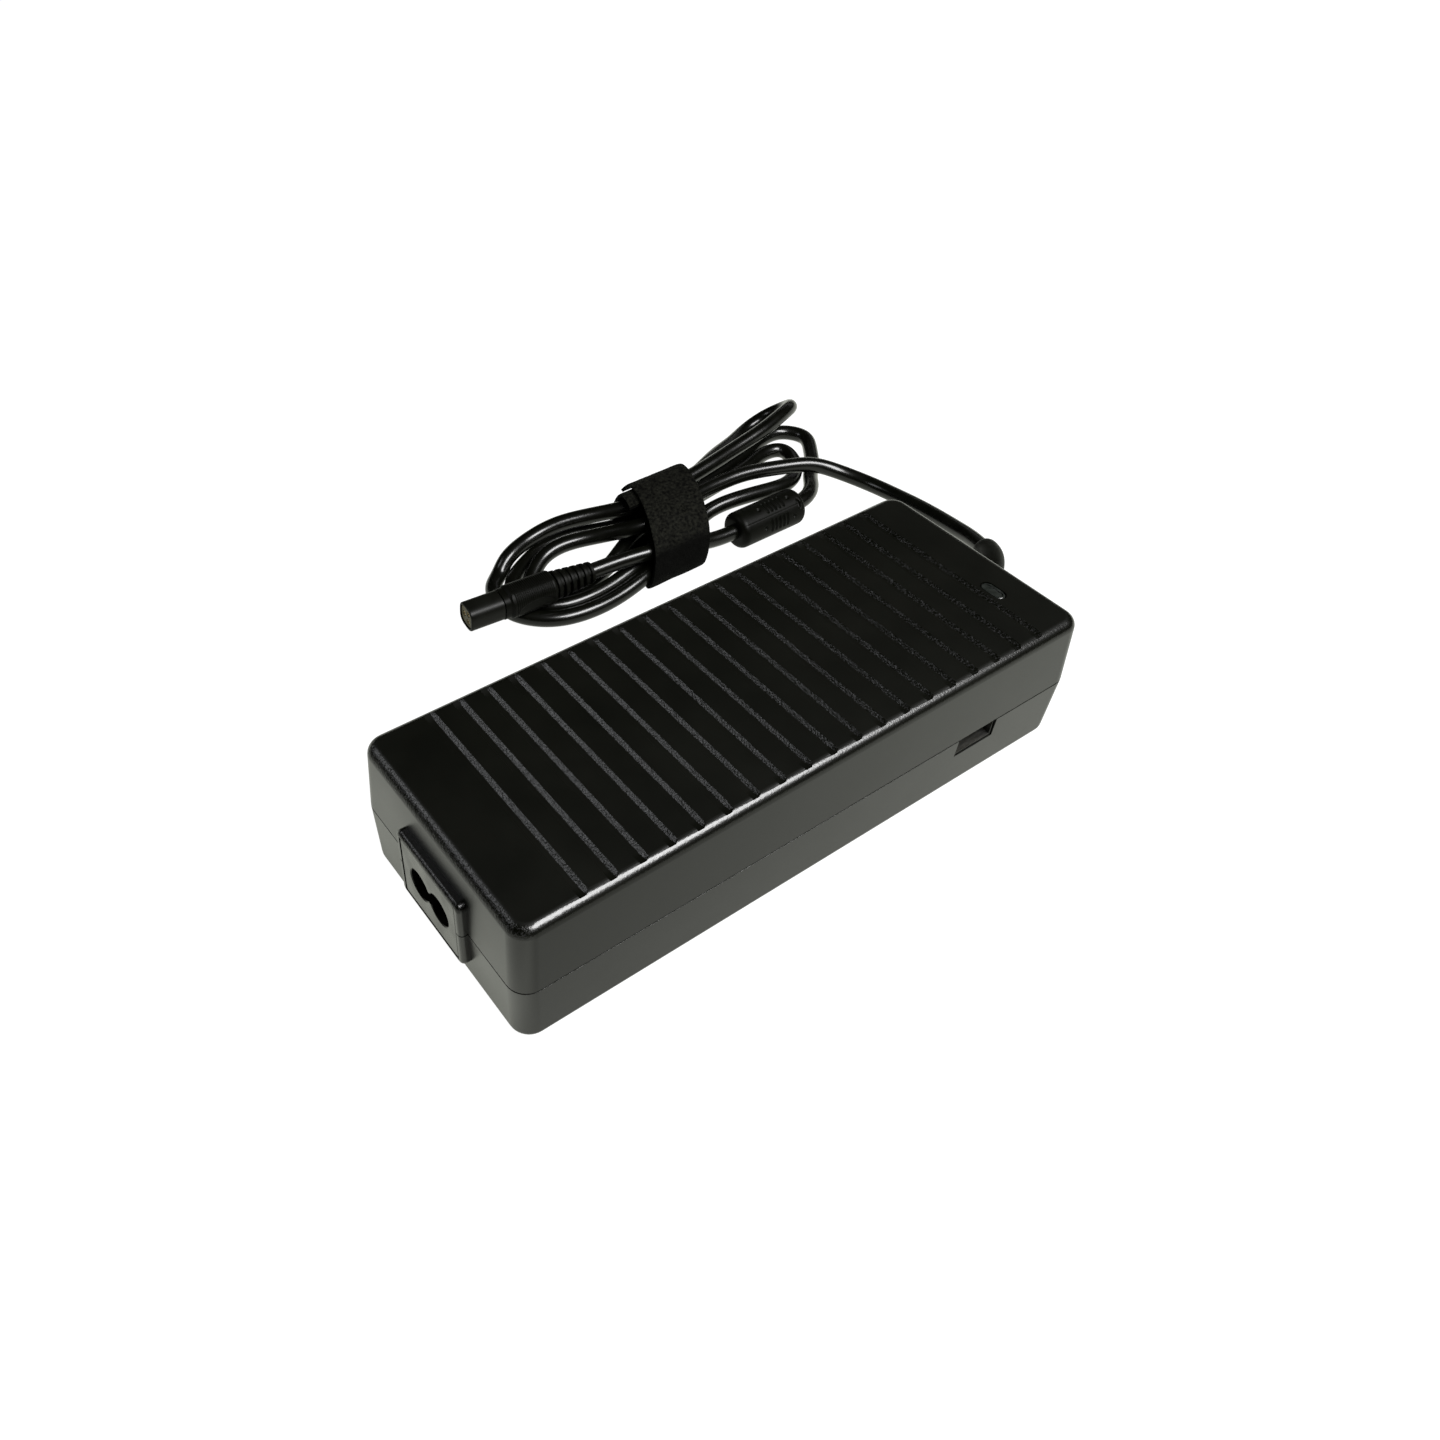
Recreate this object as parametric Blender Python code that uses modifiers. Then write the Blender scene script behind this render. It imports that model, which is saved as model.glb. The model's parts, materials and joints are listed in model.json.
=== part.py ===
"""Laptop power adapter: a finned two-shell brick with a figure-8 mains inlet, a USB
charging port, a status lamp and a captive DC lead that is folded into a hank.

Axes: +X runs along the brick from the mains inlet to the DC lead, +Y points to the side
where the hank lies, +Z is up. Sizes and places are written in millimetres, from the middle
of the brick's foot, and are scaled to metres by MM. The adapter's own origin is under the
middle of its whole footprint, which takes in the collar of the mains inlet.
"""
import math

import bmesh
import bpy
import numpy as np
from mathutils import Euler, Matrix, Vector

MM = 0.001
GAP = 0.3

# The brick
LENGTH = 165.0
WIDTH = 65.5
HEIGHT = 37.5
PARTING = 18.3
TOP_INSET = 0.84
FOOT_INSET = 0.7
CORNER_RADIUS = 4.9
TOP_RADIUS = 2.6
FOOT_RADIUS = 2.5
WALL = 2.2
LIP_HEIGHT = 1.6
LIP_OFFSET = 1.1

# Cooling grooves across the top
GROOVE_COUNT = 19
GROOVE_FIRST = -66.5
GROOVE_PITCH = 7.36
GROOVE_DEPTH = 0.7
GROOVE_FLOOR = 1.55
GROOVE_WIDTH = 2.75

# Mains inlet, on the -X end
INLET_Z = 17.7
INLET_FACE = -84.2
INLET_WIDTH = 22.2
INLET_HEIGHT = 17.6
COLLAR_FACE = -84.3
COLLAR_WIDTH = 26.2
COLLAR_HEIGHT = 20.6
LOBE_RADIUS = 3.95
LOBE_SPACING = 8.0
RECESS_DEPTH = 14.0
PIN_RADIUS = 1.2
PIN_LENGTH = 9.3

# USB port, on the -Y side
USB_X = 49.3
USB_WIDTH = 13.2
USB_FLOOR = 12.6
USB_MOUTH_Y = -32.2

# Status lamp, in the top
LAMP_X = 71.3
LAMP_Y = -12.2
LAMP_WIDTH = 3.0
LAMP_LENGTH = 6.8

# Circuit board
BOARD_MIN_X = -58.0
BOARD_MAX_X = 76.0
BOARD_HALF_Y = 28.0
BOARD_BOTTOM = 8.0
BOARD_TOP = 9.6
SEAT = BOARD_TOP + GAP

# DC lead
CORD_RADIUS = 2.38
CORD_POINTS = 82
EXIT_Y = 7.0
BOOT_ROUTE = [
    (77.8, EXIT_Y, PARTING), (79.6, EXIT_Y, PARTING), (79.8, EXIT_Y, PARTING),
    (82.9, EXIT_Y, PARTING), (83.1, EXIT_Y, PARTING), (87.5, EXIT_Y, PARTING),
    (92.0, 7.1, 18.3), (97.5, 8.2, 18.1), (101.0, 10.0, 17.85), (104.2, 12.6, 17.4),
    (106.2, 15.3, 16.9), (107.05, 17.0, 16.55),
]
BOOT_RADII = [5.4, 5.4, 4.1, 4.1, 5.4, 5.3, 5.0, 4.6, 4.3, 4.0, 3.7, 3.4]

# The lead from the boot to the ferrite and the connector, through the strap and three loops
# on each side of it. Each row is one stretch of the lead.
CORD_ROUTE = [
    # along the end of the brick, then over the hank
    (107.25, 17.4, 16.47), (109.6, 23.0, 15.1), (111.6, 30.0, 13.4), (113.2, 38.5, 11.7),
    (114.4, 47.5, 10.0), (115.0, 56.0, 8.4), (114.4, 64.5, 7.5), (112.0, 71.5, 7.8),
    (107.9, 77.2, 9.2), (101.8, 81.6, 11.2), (93.0, 84.9, 12.0), (80.4, 87.9, 12.8),
    (71.1, 88.7, 12.8),
    # under the top of the strap, inner loop on the left
    (60.0, 88.0, 13.0), (50.0, 85.8, 13.3), (42.0, 84.4, 13.0), (34.0, 87.4, 11.2),
    (26.0, 93.2, 8.4), (16.4, 96.6, 7.2), (9.5, 96.3, 6.0), (4.3, 93.7, 4.6),
    (0.6, 89.6, 3.0), (3.4, 84.9, 2.6), (9.2, 82.3, 2.6), (17.0, 82.6, 2.6),
    (26.5, 85.6, 3.0), (34.5, 89.4, 3.9),
    # along the bottom of the strap, inner loop on the right
    (42.0, 92.2, 4.1), (50.0, 94.0, 3.8), (60.0, 95.2, 3.8), (71.0, 97.0, 3.9),
    (82.8, 99.1, 3.4), (93.5, 101.7, 2.8), (103.0, 104.3, 2.6), (108.9, 102.7, 2.6),
    (108.4, 96.6, 2.8), (102.4, 88.9, 4.0), (94.7, 84.4, 5.4), (85.7, 84.0, 6.4),
    (71.5, 85.2, 7.3),
    # strap, outer loop on the left
    (60.0, 84.8, 6.2), (50.0, 80.0, 4.4), (42.0, 77.2, 4.1), (34.0, 75.0, 4.0),
    (27.0, 73.3, 3.5), (19.0, 72.2, 2.7), (10.0, 71.8, 2.6), (0.9, 73.6, 2.6), (-5.8, 77.9, 2.6),
    (-9.8, 84.0, 2.6), (-10.2, 90.0, 2.6), (-8.5, 96.0, 2.6), (-3.6, 100.5, 2.8),
    (0.5, 102.4, 5.4), (10.1, 105.2, 6.7), (20.2, 104.1, 8.9), (32.2, 99.3, 10.6),
    (41.0, 94.6, 12.7),
    # strap, raised loop on the right
    (50.0, 94.0, 13.3), (60.0, 95.3, 13.4), (72.0, 96.6, 14.2), (84.0, 98.2, 15.2),
    (96.0, 99.4, 16.8), (106.0, 101.9, 17.5), (113.1, 105.4, 16.3), (116.2, 110.6, 12.4),
    (113.2, 115.9, 7.5), (106.2, 117.0, 4.5), (97.0, 113.6, 4.6), (86.0, 108.6, 6.8),
    (76.0, 103.3, 8.8),
    # strap, middle loop on the left
    (64.0, 98.1, 8.6), (56.0, 92.4, 8.6), (50.0, 87.6, 8.5), (45.0, 83.8, 7.2),
    (40.0, 82.0, 5.6), (34.0, 80.0, 4.4), (27.0, 78.3, 3.5), (19.0, 77.2, 2.7),
    (9.0, 77.0, 2.6),
    (1.7, 79.2, 2.6), (-3.3, 83.4, 2.6), (-5.1, 88.8, 2.6), (-3.7, 93.2, 2.6),
    (0.1, 97.2, 2.6), (6.4, 100.8, 2.6), (12.8, 103.5, 2.6), (19.5, 104.4, 2.6),
    (27.4, 103.2, 2.8), (36.0, 99.2, 3.7),
    # strap, long loop on the right and round to the ferrite
    (45.1, 98.5, 4.1), (56.0, 100.0, 4.2), (66.0, 101.6, 3.8), (76.0, 103.2, 2.9),
    (86.0, 105.4, 2.6), (96.0, 107.8, 2.6), (105.6, 110.7, 2.6), (114.4, 111.6, 2.6),
    (119.1, 108.4, 2.6), (120.6, 103.5, 2.6), (117.0, 97.1, 2.6), (112.4, 91.4, 2.6),
    (106.9, 86.1, 2.7), (101.7, 80.4, 4.2), (95.2, 75.4, 5.7), (88.5, 73.8, 5.9),
    # ferrite, strap, connector
    (76.0, 73.7, 5.9), (63.5, 73.7, 5.9), (54.0, 74.0, 6.6), (45.0, 74.6, 8.8),
    (36.0, 76.0, 9.6), (26.0, 77.9, 9.55), (14.4, 78.8, 9.7),
]

# Ferrite sleeve on the lead
FERRITE_MIN_X = 63.7
FERRITE_MAX_X = 88.5
FERRITE_Y = 73.7
FERRITE_Z = 5.9
FERRITE_RADIUS = 5.7
FERRITE_CORE_RADIUS = 4.4
FERRITE_CORE_LENGTH = 18.0
FERRITE_BORE = 2.72

# Connector at the end of the lead; its own axis starts at the tip
TIP = Vector((-26.0, 81.8, 10.2))
TIP_DIRECTION = Vector((0.9972, -0.0746, -0.0124))
BARREL_RADIUS = 4.1
BARREL_LENGTH = 10.4
GRIP_RADIUS = 4.9
GRIP_END = 27.4
BOOT_END = 40.1

# Hook-and-loop strap
STRAP_WIDTH = 20.0
STRAP_THICKNESS = 1.0
# The strap's turn round the hank, from its inner end: over the far side, under the hank, up the
# near side and over the top again. It advances along the hank as it winds.
STRAP_ROUTE = [
    (45.9, 89.5, 16.6), (47.2, 93.2, 16.7), (48.3, 96.8, 16.1), (49.1, 100.1, 13.1),
    (49.6, 102.6, 8.4), (49.7, 104.0, 4.2), (49.0, 102.6, 1.2), (47.9, 99.0, 0.65),
    (46.3, 93.0, 0.65), (44.6, 87.0, 0.65), (42.9, 81.0, 0.65), (41.2, 75.8, 0.65),
    (40.2, 72.3, 0.85), (40.3, 70.6, 3.8), (41.3, 71.0, 8.2), (42.9, 73.2, 12.3),
    (45.1, 78.0, 15.5), (47.4, 83.5, 17.4), (49.7, 89.5, 18.0), (51.1, 93.8, 18.0),
    (52.3, 97.8, 17.2), (52.9, 101.0, 15.1), (53.0, 103.2, 12.4),
]


def remove_everything():
    for old in list(bpy.data.objects):
        bpy.data.objects.remove(old, do_unlink=True)


def make_collection(name):
    collection = bpy.data.collections.new(name)
    bpy.context.scene.collection.children.link(collection)
    return collection


def make_empty(name, location, rotation, parent=None):
    """A frame that other pieces are placed in, with its location in millimetres."""
    frame = bpy.data.objects.new(name, None)
    frame.location = Vector(location) * MM
    frame.rotation_euler = rotation
    frame.parent = parent
    frame.empty_display_size = 0.01
    PARTS.objects.link(frame)
    return frame


def rotation_to(axis):
    """The rotation that takes +Z to the given axis."""
    return Vector((0, 0, 1)).rotation_difference(Vector(axis)).to_euler()


remove_everything()
PARTS = make_collection("laptop_power_adapter")
CUTTERS = make_collection("cutters")
NO_TURN = Euler((0, 0, 0))
ALONG_X = rotation_to((1, 0, 0))
ALONG_Y = rotation_to((0, 1, 0))
BRICK = make_empty("brick_frame", ((-COLLAR_FACE - LENGTH / 2) / 2, 0, 0), NO_TURN)
FERRITE = make_empty("ferrite_frame", (FERRITE_MIN_X, FERRITE_Y, FERRITE_Z), ALONG_X, BRICK)
CONNECTOR = make_empty("connector_frame", TIP, rotation_to(TIP_DIRECTION), BRICK)


# ---------------------------------------------------------------- looks

SATIN_BLACK = ((0.018, 0.018, 0.017), 0.42, 0.0)
GLOSS_BLACK = ((0.010, 0.010, 0.010), 0.12, 0.0)
CORD_BLACK = ((0.012, 0.012, 0.012), 0.22, 0.0)
SOFT_BLACK = ((0.02, 0.02, 0.02), 0.6, 0.0)
LABEL_GREY = ((0.05, 0.05, 0.05), 0.35, 0.0)
CLEAR_WHITE = ((0.8, 0.82, 0.8), 0.1, 0.0)
GREEN_LAMP = ((0.3, 0.75, 0.35), 0.2, 0.0)
IVORY = ((0.86, 0.84, 0.74), 0.4, 0.0)
BOARD_GREEN = ((0.03, 0.2, 0.09), 0.45, 0.0)
SHEET_AMBER = ((0.5, 0.42, 0.25), 0.4, 0.0)
BROWN_WIRE = ((0.45, 0.2, 0.05), 0.5, 0.0)
RED_WIRE = ((0.5, 0.05, 0.04), 0.5, 0.0)
BLUE_DISC = ((0.1, 0.24, 0.55), 0.5, 0.0)
YELLOW_BOX = ((0.7, 0.6, 0.12), 0.4, 0.0)
YELLOW_TAPE = ((0.75, 0.6, 0.15), 0.5, 0.0)
CHIP_BLACK = ((0.03, 0.03, 0.03), 0.45, 0.0)
CAN_BLUE = ((0.05, 0.06, 0.15), 0.3, 0.0)
CERAMIC = ((0.75, 0.76, 0.7), 0.15, 0.0)
INSULATOR = ((0.55, 0.52, 0.42), 0.5, 0.0)
FERRITE_GREY = ((0.06, 0.06, 0.065), 0.5, 0.0)
STEEL = ((0.62, 0.62, 0.60), 0.28, 1.0)
BRASS = ((0.78, 0.58, 0.25), 0.3, 1.0)
COPPER = ((0.72, 0.34, 0.18), 0.35, 1.0)
ALUMINIUM = ((0.72, 0.73, 0.74), 0.4, 1.0)


def make_material(name, look):
    colour, roughness, metallic = look
    finish = bpy.data.materials.new(name + "_finish")
    finish.use_nodes = True
    shader = finish.node_tree.nodes["Principled BSDF"]
    shader.inputs["Base Color"].default_value = (*colour, 1.0)
    shader.inputs["Roughness"].default_value = roughness
    shader.inputs["Metallic"].default_value = metallic
    finish.diffuse_color = (*colour, 1.0)
    return finish


# ---------------------------------------------------------------- building blocks
# A piece with a look is a part, and one without is a cutter or an addition to a part.

def place(name, data, look, location=(0, 0, 0), rotation=NO_TURN, frame=BRICK):
    thing = bpy.data.objects.new(name, data)
    thing.location = Vector(location) * MM
    thing.rotation_euler = rotation
    thing.parent = frame
    if look is None:
        CUTTERS.objects.link(thing)
        thing.hide_render = True
        thing.display_type = 'WIRE'
        return thing
    PARTS.objects.link(thing)
    data.materials.append(make_material(name, look))
    if isinstance(data, bpy.types.Mesh):
        data.shade_smooth()
        data.set_sharp_from_angle(angle=math.radians(35))
    return thing


def to_mesh(name, mesh_data):
    """A mesh from one that was built in millimetres."""
    bmesh.ops.scale(mesh_data, vec=(MM, MM, MM), verts=mesh_data.verts)
    mesh = bpy.data.meshes.new(name)
    mesh_data.to_mesh(mesh)
    mesh_data.free()
    return mesh


def add_boolean(target, other, operation):
    modifier = target.modifiers.new(other.name, 'BOOLEAN')
    modifier.operation = operation
    modifier.solver = 'EXACT'
    modifier.object = other


def cut(target, cutter):
    add_boolean(target, cutter, 'DIFFERENCE')


def fuse(target, addition):
    add_boolean(target, addition, 'UNION')


def box(name, low, high, look=None, bevel=0.0, segments=2, frame=BRICK):
    size = Vector(high) - Vector(low)
    middle = (Vector(high) + Vector(low)) / 2
    mesh_data = bmesh.new()
    bmesh.ops.create_cube(mesh_data, size=1.0, matrix=Matrix.Diagonal((*size, 1.0)))
    thing = place(name, to_mesh(name, mesh_data), look, middle, frame=frame)
    if bevel:
        rounding = thing.modifiers.new("rounded_edges", 'BEVEL')
        rounding.width = bevel * MM
        rounding.segments = segments
        rounding.limit_method = 'ANGLE'
    return thing


def joined_boxes(name, corners, look):
    """Boxes that run into each other, joined into one solid."""
    whole = box(name, *corners[0], look)
    for number, (low, high) in enumerate(corners[1:]):
        fuse(whole, box(f"{name}_join_{number}", low, high))
    return whole


def cylinder(name, radius, start, rotation, length, look=None, sides=24, frame=BRICK):
    """A cylinder that runs from start along the rotated Z axis."""
    mesh_data = bmesh.new()
    bmesh.ops.create_cone(mesh_data, cap_ends=True, segments=sides, radius1=radius,
                          radius2=radius, depth=length)
    bmesh.ops.translate(mesh_data, vec=(0, 0, length / 2), verts=mesh_data.verts)
    return place(name, to_mesh(name, mesh_data), look, start, rotation, frame)


def turned(name, profile, look=None, location=(0, 0, 0), rotation=NO_TURN, sides=24,
           frame=BRICK, closed=True):
    """Turn a profile of (radius, height) points, which climbs its outer side, about Z."""
    mesh_data = bmesh.new()
    points = [mesh_data.verts.new((radius, 0, height)) for radius, height in reversed(profile)]
    for first, second in zip(points, points[1:]):
        mesh_data.edges.new((first, second))
    if closed:
        mesh_data.edges.new((points[-1], points[0]))
    thing = place(name, to_mesh(name, mesh_data), look, location, rotation, frame)
    screw = thing.modifiers.new("turn", 'SCREW')
    screw.axis = 'Z'
    screw.angle = 2 * math.pi
    screw.steps = sides
    screw.render_steps = sides
    screw.use_merge_vertices = True
    screw.merge_threshold = 0.00001
    screw.use_smooth_shade = True
    return thing


def add_spline(curve, points, radius=None, radii=None, cyclic=False):
    spline = curve.splines.new('POLY')
    spline.points.add(len(points) - 1)
    for index, point in enumerate(points):
        spline.points[index].co = (*(Vector(point).to_3d() * MM), 1.0)
        if radii:
            spline.points[index].radius = radii[index] / radius
    spline.use_cyclic_u = cyclic


def tube(name, points, radius, look, radii=None, resolution=2, frame=BRICK):
    """A wire along the points, with an optional radius at each of them."""
    curve = bpy.data.curves.new(name, 'CURVE')
    curve.dimensions = '3D'
    curve.bevel_depth = radius * MM
    curve.bevel_resolution = resolution
    curve.use_fill_caps = True
    add_spline(curve, points, radius, radii)
    return place(name, curve, look, frame=frame)


def extruded(name, outline, half_depth, look=None, location=(0, 0, 0), rotation=NO_TURN):
    """A flat outline, drawn in local XY and extruded both ways along local Z, as a mesh."""
    curve = bpy.data.curves.new(name + "_outline", 'CURVE')
    curve.dimensions = '2D'
    curve.fill_mode = 'BOTH'
    curve.extrude = half_depth * MM
    add_spline(curve, outline, cyclic=True)
    drawn = bpy.data.objects.new(name + "_outline", curve)
    CUTTERS.objects.link(drawn)
    bpy.context.view_layer.update()
    mesh = bpy.data.meshes.new_from_object(
        drawn.evaluated_get(bpy.context.evaluated_depsgraph_get()))
    bpy.data.objects.remove(drawn)
    welded = bmesh.new()
    welded.from_mesh(mesh)
    bmesh.ops.remove_doubles(welded, verts=welded.verts, dist=0.000001)
    bmesh.ops.recalc_face_normals(welded, faces=welded.faces)
    welded.to_mesh(mesh)
    welded.free()
    return place(name, mesh, look, location, rotation)


def smooth_route(points, count):
    """Points along a curvature-continuous cubic through the given points, closer together
    where it bends."""
    given = np.array(points, dtype=float)
    spans = np.linalg.norm(np.diff(given, axis=0), axis=1) ** 0.5
    size = len(given)
    system = np.eye(size)
    right = np.zeros((size, 3))
    for i in range(1, size - 1):
        system[i, i - 1:i + 2] = (spans[i - 1], 2 * (spans[i - 1] + spans[i]), spans[i])
        rise = (given[i + 1] - given[i]) / spans[i] - (given[i] - given[i - 1]) / spans[i - 1]
        right[i] = 6 * rise
    bend = np.linalg.solve(system, right)
    fine = []
    for i, span in enumerate(spans):
        for part in np.linspace(0.0, span, 40, endpoint=False):
            left = span - part
            curved = (bend[i] * left ** 3 + bend[i + 1] * part ** 3) / (6 * span)
            start = (given[i] / span - bend[i] * span / 6) * left
            end = (given[i + 1] / span - bend[i + 1] * span / 6) * part
            fine.append(curved + start + end)
    fine = np.array(fine + [given[-1]])
    run = np.diff(fine, axis=0)
    steps = np.linalg.norm(run, axis=1)
    run /= steps[:, None]
    turns = np.linalg.norm(np.diff(run, axis=0), axis=1)
    curvature = np.append(turns, turns[-1]) / steps
    share = np.concatenate([[0.0], np.cumsum(steps * np.sqrt(curvature + 0.03))])
    wanted = np.linspace(0.0, share[-1], count)
    return [tuple(np.interp(w, share, fine[:, k]) for k in range(3)) for w in wanted]


# ---------------------------------------------------------------- shells

def tapered_block(name, start, end, inset, edge_radius, shrink=0.0, segments=3, look=None):
    """A rounded block of the brick's outline from one height to another, drawn in by
    inset at its far end and by shrink all round."""
    mesh_data = bmesh.new()
    bmesh.ops.create_cube(mesh_data, size=2.0)
    for vertex in mesh_data.verts:
        far = (vertex.co.z > 0) == (end > start)
        pull = shrink + (inset if far else 0.0)
        vertex.co.x *= LENGTH / 2 - pull
        vertex.co.y *= WIDTH / 2 - pull
        vertex.co.z = end if far else start
    uprights = [e for e in mesh_data.edges if abs(e.verts[0].co.z - e.verts[1].co.z) > 1e-6]
    bmesh.ops.bevel(mesh_data, geom=uprights, offset=CORNER_RADIUS - shrink,
                    segments=segments + 1, profile=0.5, affect='EDGES')
    rim = [e for e in mesh_data.edges if all(abs(v.co.z - end) < 1e-6 for v in e.verts)]
    if edge_radius:
        bmesh.ops.bevel(mesh_data, geom=rim, offset=edge_radius, segments=segments,
                        profile=0.5, affect='EDGES')
    return place(name, to_mesh(name, mesh_data), look)


def collar(name, low, high):
    """The raised frame round the mains inlet, cut to one side of the parting line."""
    whole = box(name, (COLLAR_FACE, -COLLAR_WIDTH / 2, INLET_Z - COLLAR_HEIGHT / 2),
                (-81.0, COLLAR_WIDTH / 2, INLET_Z + COLLAR_HEIGHT / 2), bevel=1.3, segments=3)
    add_boolean(whole, box(name + "_half", (-90, -20, low), (-76, 20, high)), 'INTERSECT')
    return whole


def groove_cutter():
    """A row of shallow channels: upright on the -X side, a ramp on the +X side."""
    rise = 1.0
    slope = GROOVE_WIDTH - GROOVE_FLOOR - 0.15
    outline = [(0.0, 0.0), (0.15, -GROOVE_DEPTH), (0.15 + GROOVE_FLOOR, -GROOVE_DEPTH),
               (GROOVE_WIDTH, 0.0), (GROOVE_WIDTH + slope * rise / GROOVE_DEPTH, rise),
               (-0.15 * rise / GROOVE_DEPTH, rise)]
    cutter = extruded("groove_cutter", outline, WIDTH / 2 + 2, location=(GROOVE_FIRST, 0, HEIGHT),
                      rotation=Euler((math.pi / 2, 0, 0)))
    row = cutter.modifiers.new("row", 'ARRAY')
    row.count = GROOVE_COUNT
    row.use_relative_offset = False
    row.use_constant_offset = True
    row.constant_offset_displace = (GROOVE_PITCH * MM, 0, 0)
    return cutter


def lamp_block(name, spare, low, high, look=None):
    """An upright block with fully rounded ends, as wide as the lamp and its spare."""
    half_x = LAMP_WIDTH / 2 + spare
    straight = LAMP_LENGTH / 2 - LAMP_WIDTH / 2
    outline = []
    for side in (1, -1):
        for step in range(9):
            turn = math.pi * step / 8
            outline.append((side * half_x * math.cos(turn),
                            side * (straight + half_x * math.sin(turn))))
    return extruded(name, outline, (high - low) / 2, look,
                    location=(LAMP_X, LAMP_Y, (high + low) / 2))


def make_shells():
    inlet_half_y = INLET_WIDTH / 2 + GAP
    inlet_half_z = INLET_HEIGHT / 2 + GAP
    inlet_opening = box("inlet_opening", (-90, -inlet_half_y, INLET_Z - inlet_half_z),
                        (-74, inlet_half_y, INLET_Z + inlet_half_z))
    exit_hole = cylinder("exit_hole", 4.5, (74, EXIT_Y, PARTING), ALONG_X, 16, sides=20)

    seam = PARTING + GAP / 2
    upper = tapered_block("upper_shell", seam, HEIGHT, TOP_INSET, TOP_RADIUS, look=SATIN_BLACK)
    fuse(upper, collar("collar_upper", seam, 60))
    cut(upper, tapered_block("upper_hollow", seam - 1, HEIGHT - WALL - 0.2, TOP_INSET, 1.2,
                             WALL, 1))
    cut(upper, tapered_block("upper_rebate", seam - 1, PARTING + LIP_HEIGHT + GAP, 0, 0,
                             LIP_OFFSET))
    cut(upper, groove_cutter())
    cut(upper, lamp_block("lamp_slot", GAP, 30, 45))
    cut(upper, inlet_opening)
    cut(upper, exit_hole)

    seam = PARTING - GAP / 2
    lower = tapered_block("lower_shell", seam, 0.0, FOOT_INSET, FOOT_RADIUS, look=SATIN_BLACK)
    fuse(lower, collar("collar_lower", -10, seam))
    fuse(lower, tapered_block("lower_lip", seam - 1, PARTING + LIP_HEIGHT, 0, 0,
                              LIP_OFFSET + GAP))
    cut(lower, tapered_block("lower_hollow", seam + 5, WALL + 0.2, FOOT_INSET, 1.2, WALL, 1))
    cut(lower, inlet_opening)
    cut(lower, exit_hole)
    cut(lower, box("usb_opening", (USB_X - USB_WIDTH / 2, -40, USB_FLOOR),
                   (USB_X + USB_WIDTH / 2, -26, 24)))
    cut(lower, box("label_recess", (-50.3, -25.3, -1), (50.3, 25.3, 0.65)))


def make_label_and_lamp():
    box("rating_label", (-50, -25, 0.05), (50, 25, 0.35), LABEL_GREY)
    pipe = lamp_block("led_light_pipe", 0.0, 31.8, HEIGHT - 0.05, CLEAR_WHITE)
    fuse(pipe, box("light_pipe_flange", (LAMP_X - 2.6, LAMP_Y - 4.5, 33.9),
                   (LAMP_X + 2.6, LAMP_Y + 4.5, 34.8)))
    lamp = cylinder("status_led", 1.5, (LAMP_X, LAMP_Y, 27.0), NO_TURN, 4.2, GREEN_LAMP, 16)
    for side in (-1, 1):
        middle = LAMP_X + side
        fuse(lamp, box(f"led_leg_{side}", (middle - 0.25, LAMP_Y - 0.25, SEAT),
                       (middle + 0.25, LAMP_Y + 0.25, 27.5)))


# ---------------------------------------------------------------- mains inlet

def make_inlet():
    half_y = INLET_WIDTH / 2
    half_z = INLET_HEIGHT / 2
    back = INLET_FACE + RECESS_DEPTH
    housing = joined_boxes("inlet_housing", [
        ((INLET_FACE, -half_y, INLET_Z - half_z), (-79.0, half_y, INLET_Z + half_z)),
        ((-79.2, -half_y - 2, INLET_Z - half_z - 1.5),
         (-77.2, half_y + 2, INLET_Z + half_z + 1.5)),
        ((-77.4, -10, INLET_Z - 6), (back + 3, 10, INLET_Z + 6)),
    ], GLOSS_BLACK)
    for side, pole in ((-1, "line"), (1, "neutral")):
        middle = side * LOBE_SPACING / 2
        cut(housing, cylinder(f"lobe_{pole}", LOBE_RADIUS, (INLET_FACE - 2, middle, INLET_Z),
                              ALONG_X, RECESS_DEPTH + 2, sides=28))
        cut(housing, cylinder(f"pin_bore_{pole}", PIN_RADIUS + GAP, (back - 1, middle, INLET_Z),
                              ALONG_X, 8, sides=16))
        cylinder(f"inlet_pin_{pole}", PIN_RADIUS, (back - PIN_LENGTH, middle, INLET_Z), ALONG_X,
                 PIN_LENGTH + 7, BRASS, 16)
        tail = back + 7 + GAP
        tube(f"inlet_wire_{pole}", [
            (tail, middle, INLET_Z), (tail + 2.5, middle, INLET_Z),
            (tail + 4.5, middle * 1.05, 16.2), (tail + 5.6, middle * 1.1, 13.5),
            (tail + 6.0, middle * 1.12, SEAT)], 1.0, BROWN_WIRE)
    cut(housing, box("inlet_waist", (INLET_FACE - 2.5, -2.6, INLET_Z - 1.9),
                     (back, 2.6, INLET_Z + 1.9)))


# ---------------------------------------------------------------- USB port

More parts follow.
